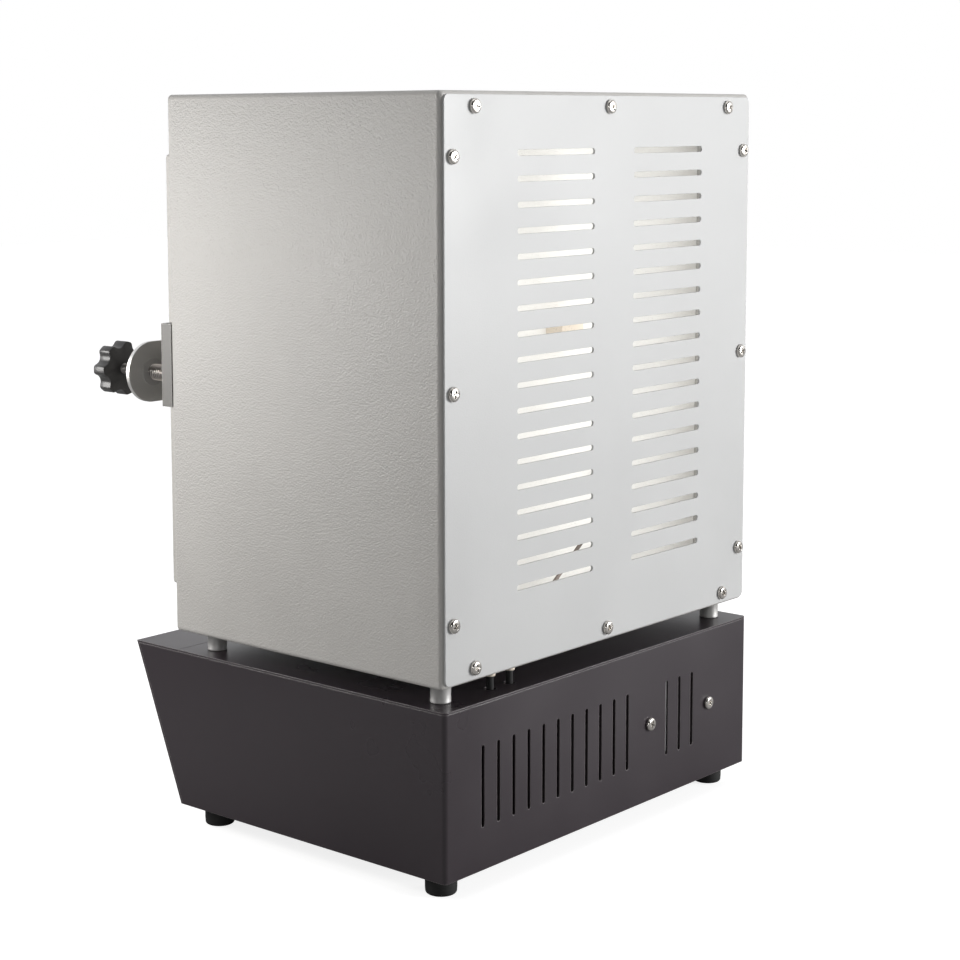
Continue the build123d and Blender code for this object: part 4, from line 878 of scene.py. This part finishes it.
# %% Press the cover
cover_low, cover_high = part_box("back_cover")
cover_middle = (cover_low + cover_high) / 2
slot_pitch = 0.0166
slots_in_column = 18
slots_offset = (-0.0056, 0.0075, 0.0)    # from the cover's middle
flat_points = [(p.x - cover_middle.x, p.z - cover_middle.z, 0) for p in cover_points]
cover = run_tree("slotted_cover", flat_points, cover_tree, cover_input, {
    "Width": cover_high.x - cover_low.x,
    "Height": cover_high.z - cover_low.z,
    "Slots in a column": slots_in_column,
    "Column length": slot_pitch * (slots_in_column - 1),
    "Slots offset": slots_offset,
    "Thickness": cover_high.y - cover_low.y,
    "Finish": finishes["cover_grey"],
})
stand_up = Matrix.Translation((cover_middle.x, cover_high.y, cover_middle.z)) @ Matrix.Rotation(
    math.pi / 2, 4, "X"
)
cover.data.transform(stand_up)
cover.data.update()
stands_for(cover, "kiln", "cover_grey", "back_cover")

# %% [markdown]
# ## The latch's star knob
# The knob is moulded phenolic with seven lobes, rounded all over, and a flat back. A circle with seven
# scallops would have sharp lobe corners, so the outline is worked out as a radius for every angle and
# then smoothed along its length. The outline is repeated at several depths, drawn in near both faces,
# which rounds the edges as a mould does.

# %% Mould the star knob
knob_low, knob_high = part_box("star_knob")
stud_low, stud_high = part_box("latch_stud")
stud_axis = (stud_low + stud_high) / 2
knob_radius = 0.0195
lobes = 7
scallop_radius = 0.0060
scallop_at = knob_radius + scallop_radius / 3
front_round, back_round = 0.0014, 0.0009
dish_depth, dish_radii, face_radius = 0.0011, (0.0048, 0.0078), 0.0086
back_radius, bore_radius, bore_depth = 0.0075, 0.00406, 0.0085


def lobed_outline(samples=196):
    """The knob's outline: a radius for every angle, with rounded lobe corners."""
    turns = np.arange(samples) * 2 * math.pi / samples
    step = 2 * math.pi / lobes
    off = (turns + step / 2) % step - step / 2
    off = np.abs(np.abs(off) - step / 2)
    reach = np.full(samples, knob_radius)
    side = scallop_at * np.sin(off)
    inside = side < scallop_radius
    cut = scallop_at * np.cos(off) - np.sqrt(np.maximum(scallop_radius ** 2 - side ** 2, 0))
    reach[inside] = np.minimum(reach[inside], cut[inside])
    for _ in range(3):
        reach = (np.roll(reach, 1) + 2 * reach + np.roll(reach, -1)) / 4
    return turns, reach


def rounded_levels(radius, angles):
    """Depths and insets that round an edge."""
    return [(radius * (1 - math.cos(a)), radius * (1 - math.sin(a))) for a in np.radians(angles)]


def star_knob_mesh():
    """The whole knob as one closed skin about the stud's axis, front face towards -Y."""
    turns, reach = lobed_outline()
    thick = knob_high.y - knob_low.y
    rings = rounded_levels(front_round, [0, 25, 50, 72, 90])
    back_levels = rounded_levels(back_round, [0, 45, 90])
    rings += [(thick - depth, inset) for depth, inset in reversed(back_levels)]
    shape = bmesh.new()

    def ring(depth, radii):
        y = knob_low.y + depth
        return [
            shape.verts.new((stud_axis.x + r * math.cos(t), y, stud_axis.z + r * math.sin(t)))
            for t, r in zip(turns, radii)
        ]

    def circle(depth, radius):
        return ring(depth, np.full(len(turns), radius))

    loops = [circle(dish_depth, radius) for radius in dish_radii] + [circle(0.0, face_radius)]
    loops += [ring(depth, reach - inset) for depth, inset in rings]
    loops += [circle(thick, back_radius), circle(thick, bore_radius)]
    loops += [circle(thick - bore_depth, bore_radius)]
    for low, high in zip(loops, loops[1:]):
        for n in range(len(turns)):
            after = (n + 1) % len(turns)
            shape.faces.new((low[n], low[after], high[after], high[n]))
    shape.faces.new(loops[0])
    shape.faces.new(reversed(loops[-1]))
    bmesh.ops.recalc_face_normals(shape, faces=shape.faces)
    mesh = bpy.data.meshes.new("lobed_knob")
    shape.to_mesh(mesh)
    shape.free()
    smooth(mesh, 40)
    return mesh


knob = link("lobed_knob", star_knob_mesh())
knob.data.materials.append(finishes["knob_black"])
stands_for(knob, "knob", "knob_black", "star_knob")

# %% [markdown]
# ## The threaded stud
# An M8 stud joins the knob to the bar. A thread is a V that climbs one pitch a turn. Instead of cutting
# it, the skin of the stud is a grid of angle and length, and the radius at each grid point is read from
# the V at that phase. The rear end fades to the core so that it closes neatly.

# %% Cut the stud's thread
thread_pitch = 0.00125
thread_crest = (stud_high.x - stud_low.x) / 2
thread_depth = 0.00068
core_depth = 0.0009              # how far below the crest the rear end fades
fade_length = 0.0015
half_flank = 0.44                # half the V's width, as a share of the pitch


def threaded_stud():
    """A rod along Y whose skin carries a V-shaped thread."""
    sides = 24
    steps = 8
    length = stud_high.y - stud_low.y
    rows = int(length / thread_pitch * steps)
    shape = bmesh.new()
    rings = []
    for row in range(rows + 1):
        along = length * row / rows
        fade = min(1.0, (length - along) / fade_length)
        loop = []
        for n in range(sides):
            phase = (along / thread_pitch - n / sides) % 1.0
            valley = max(0.0, 1 - abs(phase - 0.5) / half_flank)
            radius = thread_crest - thread_depth * valley
            radius = thread_crest - core_depth + (radius - thread_crest + core_depth) * fade
            turn = 2 * math.pi * n / sides
            x = stud_axis.x + radius * math.cos(turn)
            z = stud_axis.z + radius * math.sin(turn)
            loop.append(shape.verts.new((x, stud_low.y + along, z)))
        rings.append(loop)
    for low, high in zip(rings, rings[1:]):
        for n in range(sides):
            after = (n + 1) % sides
            shape.faces.new((low[n], low[after], high[after], high[n]))
    shape.faces.new(rings[0])
    shape.faces.new(reversed(rings[-1]))
    bmesh.ops.recalc_face_normals(shape, faces=shape.faces)
    mesh = bpy.data.meshes.new("threaded_stud")
    shape.to_mesh(mesh)
    shape.free()
    smooth(mesh, 60)
    return mesh


stud = link("threaded_stud", threaded_stud())
# The stud gets the darkened steel, as painted shade for the coils' shade on it.
stud.data.materials.append(finishes["stud_steel_painted_shade"])
stands_for(stud, "stud", "plated_steel", "latch_stud")

# %% [markdown]
# ## The latch spring
# Round wire wound in an open coil. It follows a rule too: a spiral of so many turns, so long and so
# wide, swept with a circle. The tree has exactly those values as its inputs.

# %% Wind the spring
spring_tree, spring_input = new_tree("wound_spring", [
    ("Start", "NodeSocketGeometry", None),
    ("Turns", "NodeSocketFloat", 8.0),
    ("Length", "NodeSocketFloat", 0.015),
    ("Coil radius", "NodeSocketFloat", 0.0054),
    ("Wire radius", "NodeSocketFloat", 0.0006),
    ("Finish", "NodeSocketMaterial", None),
])
steps_in_turn = 40
wire_sides = 12
spring_given = spring_tree.nodes.new("NodeGroupInput").outputs
spiral = spring_tree.nodes.new("GeometryNodeCurveSpiral")
spiral.inputs["Resolution"].default_value = steps_in_turn
join(spring_tree, spring_given["Turns"], spiral, "Rotations")
join(spring_tree, spring_given["Length"], spiral, "Height")
join(spring_tree, spring_given["Coil radius"], spiral, "Start Radius")
join(spring_tree, spring_given["Coil radius"], spiral, "End Radius")
wire_section = spring_tree.nodes.new("GeometryNodeCurvePrimitiveCircle")
wire_section.inputs["Resolution"].default_value = wire_sides
join(spring_tree, spring_given["Wire radius"], wire_section, "Radius")
wound = join(spring_tree, spiral, spring_tree.nodes.new("GeometryNodeCurveToMesh"), "Curve")
join(spring_tree, wire_section, wound, "Profile Curve")
wound.inputs["Fill Caps"].default_value = True
wound_kinds = ("GeometryNodeSetShadeSmooth", "GeometryNodeRealizeInstances", "GeometryNodeSetMaterial")
for kind in wound_kinds:
    wound = join(spring_tree, wound, spring_tree.nodes.new(kind), "Geometry")
join(spring_tree, spring_given["Finish"], wound, "Material")
join(spring_tree, wound, spring_tree.nodes.new("NodeGroupOutput"), "Geometry")

spring_low, spring_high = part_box("latch_spring")
wire_radius = 0.0005
spring = run_tree("wound_spring", [(0, 0, 0)], spring_tree, spring_input, {
    "Length": spring_high.y - spring_low.y - 2 * wire_radius,
    "Wire radius": wire_radius,
    "Finish": finishes["spring_steel"],
})
spring.data.transform(
    Matrix.Translation((stud_axis.x, spring_high.y - wire_radius, stud_axis.z)) @ Matrix.Rotation(
        math.pi / 2, 4, "X"
    )
)
stands_for(spring, "kiln", "spring_steel", "latch_spring")

# %% [markdown]
# ## The door's pull
# The door opens with a moulded pull on a short stem. It is turned work again: a flared foot, a slim stem
# and a full round crown, spun about the stem and laid to face the front.

# %% Turn the pull
pull_low, pull_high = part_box("door_handle")
pull_middle = (pull_low + pull_high) / 2
pull_radius = (pull_high.x - pull_low.x) / 2
pull_tall = pull_high.y - pull_low.y
crown_round = 0.0026
pull_outline = [(0, 0.00905), (0.0021, 0.009), (0.0021, 0), (0.0072, 0), (0.0075, 0.0004)]
pull_outline += [(0.0066, 0.003), (0.0061, 0.006), (0.0066, 0.0085), (0.0085, 0.0112), (0.0112, 0.0127)]
pull_outline += corner((pull_radius - crown_round, 0.0153), crown_round, 280, 360, 5)
pull_outline += corner((0, pull_tall - pull_radius), pull_radius, 12, 86, 12)
pull_outline += [(0, pull_tall)]
pull_mesh = spin("round_pull", pull_outline, round_sides)
pull_base = Matrix.Translation((pull_middle.x, pull_high.y, pull_middle.z))
pull_mesh.transform(pull_base @ Matrix.Rotation(math.pi / 2, 4, "X"))
pull = link("round_pull", pull_mesh)
pull_mesh.materials.append(finishes["handle_black"])
stands_for(pull, "door", "handle_black", "door_handle")
